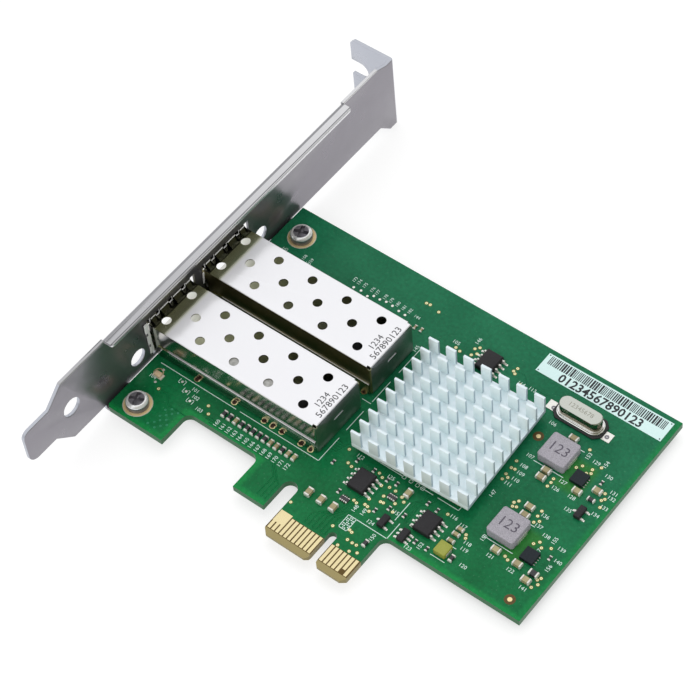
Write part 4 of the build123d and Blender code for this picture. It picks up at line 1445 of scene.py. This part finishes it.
upright_places += [(x, 59.8) for x in (22.2, 23.4, 24.9, 26.9, 28.2, 30.3, 31.9, 33.6, 35.2, 36.8)]
number = 100
for places, turn in ((flat_places, 0), (upright_places, 90)):
    for x, y in places:
        number += 1
        behind_cages = y > 57 and x < 42
        ink.append(digits("n", str(number), x, y, 0.01, 1.0 if behind_cages else 1.22, turn))
settle(join(ink, "legend"), silk_ink, "board_green")

# %% [markdown]
# Some places on the board were left without a part: their pads are round and tinned. A gold ring
# marks where a lamp would stand.

# %% Bare pads and the lamp's ring
pad = soften(rod("pad", 0, 0, 0.3, 0.001, 0.05, 16), 0.015, 1)
pad_places = [
    (9.5, 18.2), (11.7, 16.8), (13.9, 15.4), (4.3, 18.2), (4.9, 14.9), (23.2, 58.0), (25.0, 58.2),
    (27.0, 57.8), (28.1, 58.6), (29.7, 58.6), (31.2, 58.9), (32.9, 58.8), (34.8, 58.5), (36.5, 58.4)
]
settle(scatter(pad, "bare_pads", pad_places), solder_metal, "tin")
settle(ring("lamp_ring", 3.9, 17.1, 1.15, 0.85, 0.002, 0.04, 32), gold_metal, "gold")

# %% [markdown]
# The cages are stamped with plain digits at their rear, the inductors are etched and the crystal's can
# is marked. Each mark is a thin mesh of text in a dull ink of its own.

# %% Stamped, etched and marked digits
stamp_ink = moulded("stamped marks", (0.025, 0.025, 0.030), (0.04, 0.04, 0.045), 0.5, 8.0, 0.002)
stamps = []
for middle_y in cage_middles:
    stamps.append(digits("n", "1234", 40.6, middle_y - 1.0, 9.41, 2.0, 90, 0.006))
    stamps.append(digits("n", "567890123", 42.4, middle_y, 9.41, 2.1, 90, 0.006))
settle(join(stamps, "stamped_digits"), stamp_ink, "cage_steel")

etched_ink = moulded("etched digits", (0.085, 0.075, 0.10), (0.12, 0.11, 0.14), 0.6, 8.0, 0.002)
etched = []
for place_name in pair:
    low, high = drawn(f"inductor_{place_name}")
    x, y, top = (low[0] + high[0]) / 2, (low[1] + high[1]) / 2, high[2] + 0.001
    etched.append(digits("n", "123", x, y, top, 3.2, 0, 0.006))
settle(join(etched, "etched_digits"), etched_ink, "inductor_grey")

can_ink = moulded("can digits", (0.27, 0.27, 0.22), (0.34, 0.34, 0.29), 0.5, 8.0, 0.002)
can_marks = digits("can_digits", "12345678", can_x, can_y, can_high[2] + 0.002, 1.5, 0, 0.004)
settle(can_marks, can_ink, "crystal_steel")

# %% [markdown]
# ## Studio
# The card lies on a white sheet under soft light. Camera and mirror rays see the sheet and the
# surroundings as white, while the card itself is lit by the lamps and a plainer sky. The sheet glows
# less under the card, where the board keeps the light off it.

# %% Floor
def add_when(tree, plain, shown, *rays):
    """A strength that is one value for light and another for the named kinds of ray."""
    path = tree.nodes.new("ShaderNodeLightPath")
    mask = path.outputs[rays[0]]
    for ray in rays[1:]:
        mask = combine(tree, "MAXIMUM", mask, path.outputs[ray])
    choose = tree.nodes.new("ShaderNodeMix")
    for socket, value in ((choose.inputs[2], plain), (choose.inputs[3], shown)):
        if isinstance(value, float):
            socket.default_value = value
        else:
            tree.links.new(value, socket)
    tree.links.new(mask, choose.inputs[0])
    return choose.outputs[0]


floor_height = drawn("bracket")[0][2]
clear_selection()
bpy.ops.mesh.primitive_plane_add(size=4.0, location=(0, 0, floor_height * mm))
floor = bpy.context.object
floor.name = "paper_floor"
floor_finish, floor_tree, floor_shader = new_finish("white sheet", (0.38, 0.38, 0.38), 0.9, 0.0, 0.0)
floor_shader.inputs["Emission Color"].default_value = (1, 1, 1, 1)
floor_glow = add_when(floor_tree, 0.0, 0.69, "Is Camera Ray", "Is Glossy Ray", "Is Transmission Ray")
floor_axes = place_axes(floor_tree)
under_card = both(floor_tree, within(floor_tree, floor_axes["X"], along(1), along(96), 4.0),
                  within(floor_tree, floor_axes["Y"], 16 * mm, 66 * mm, 4.0))
floor_glow = both(floor_tree, floor_glow, faded(floor_tree, under_card, 0.0, 1.0, 1.0, 0.65))
floor_tree.links.new(floor_glow, floor_shader.inputs["Emission Strength"])
floor.data.materials.append(floor_finish)
print("floor at", round(floor_height, 2), "mm")

# %% [markdown]
# A studio tent is white above and behind the card and dim on the side where the camera stands. Only
# mirror rays see that dim side, so it shapes the metal and lights nothing.

# %% World
world = bpy.data.worlds.new("white studio")
bpy.context.scene.world = world
world.use_nodes = True
tree = world.node_tree
sky = tree.nodes["Background"]
direction = tree.nodes.new("ShaderNodeTexCoord")
axes = tree.nodes.new("ShaderNodeSeparateXYZ")
tree.links.new(direction.outputs["Generated"], axes.inputs["Vector"])
dim_side = faded(tree, axes.outputs["X"], -0.20, 0.40)
mirrored = add_when(tree, 0.0, 1.0, "Is Glossy Ray", "Is Transmission Ray")
dim_side = both(tree, dim_side, mirrored)
tree.links.new(blend_colours(tree, dim_side, (1.0, 1.0, 1.0), (0.24, 0.24, 0.17)), sky.inputs["Color"])
low_band = faded(tree, axes.outputs["Z"], 0.02, 0.35, 0.45, 1.0)
sky_strength = add_when(tree, 0.75, low_band, "Is Glossy Ray", "Is Transmission Ray")
tree.links.new(add_when(tree, sky_strength, 1.0, "Is Camera Ray"), sky.inputs["Strength"])
print("world", world.name)

# %% [markdown]
# Two square soft lamps light the card. The key hangs nearly overhead, a little towards the bracket,
# whose lip shades the near ends of the cages. The fill comes lower, from the camera's side. Neither
# is seen in mirrors, where its square outline would show.

# %% Lamps
def soft_lamp(name, location, size, power):
    """A square soft lamp aimed at the card."""
    light = bpy.data.lights.new(name, "AREA")
    light.size = size
    light.energy = power
    lamp = bpy.data.objects.new(name, light)
    lamp.location = location
    aim = Vector((0, 0.04, 0)) - Vector(location)
    lamp.rotation_euler = aim.to_track_quat("-Z", "Y").to_euler()
    lamp.visible_glossy = False
    bpy.context.scene.collection.objects.link(lamp)
    return lamp


soft_lamp("key", (-0.20, 0.30, 1.05), 0.8, 2.8)
soft_lamp("fill", (0.55, -0.75, 0.60), 0.6, 2.0)
print("lamps", len(bpy.data.lights))

# %% [markdown]
# The camera's place, tilt and lens were fitted to the corners of the card in the photograph, whose
# real sizes are known. It looks down from beyond the contact edge, with a long lens.

# %% Camera
camera_data = bpy.data.cameras.new("camera")
camera_data.sensor_width = 36
camera_data.lens = 119.54
camera_data.clip_start = 0.01
camera = bpy.data.objects.new("camera", camera_data)
camera.location = spot(229.44, -163.63, 386.05)
tilt, roll, heading = 36.404, 3.853, 38.164
camera.rotation_euler = (math.radians(tilt), math.radians(roll), math.radians(heading))
bpy.context.scene.collection.objects.link(camera)
bpy.context.scene.camera = camera
bpy.context.scene.view_settings.view_transform = "Standard"
print("camera lens", camera_data.lens)
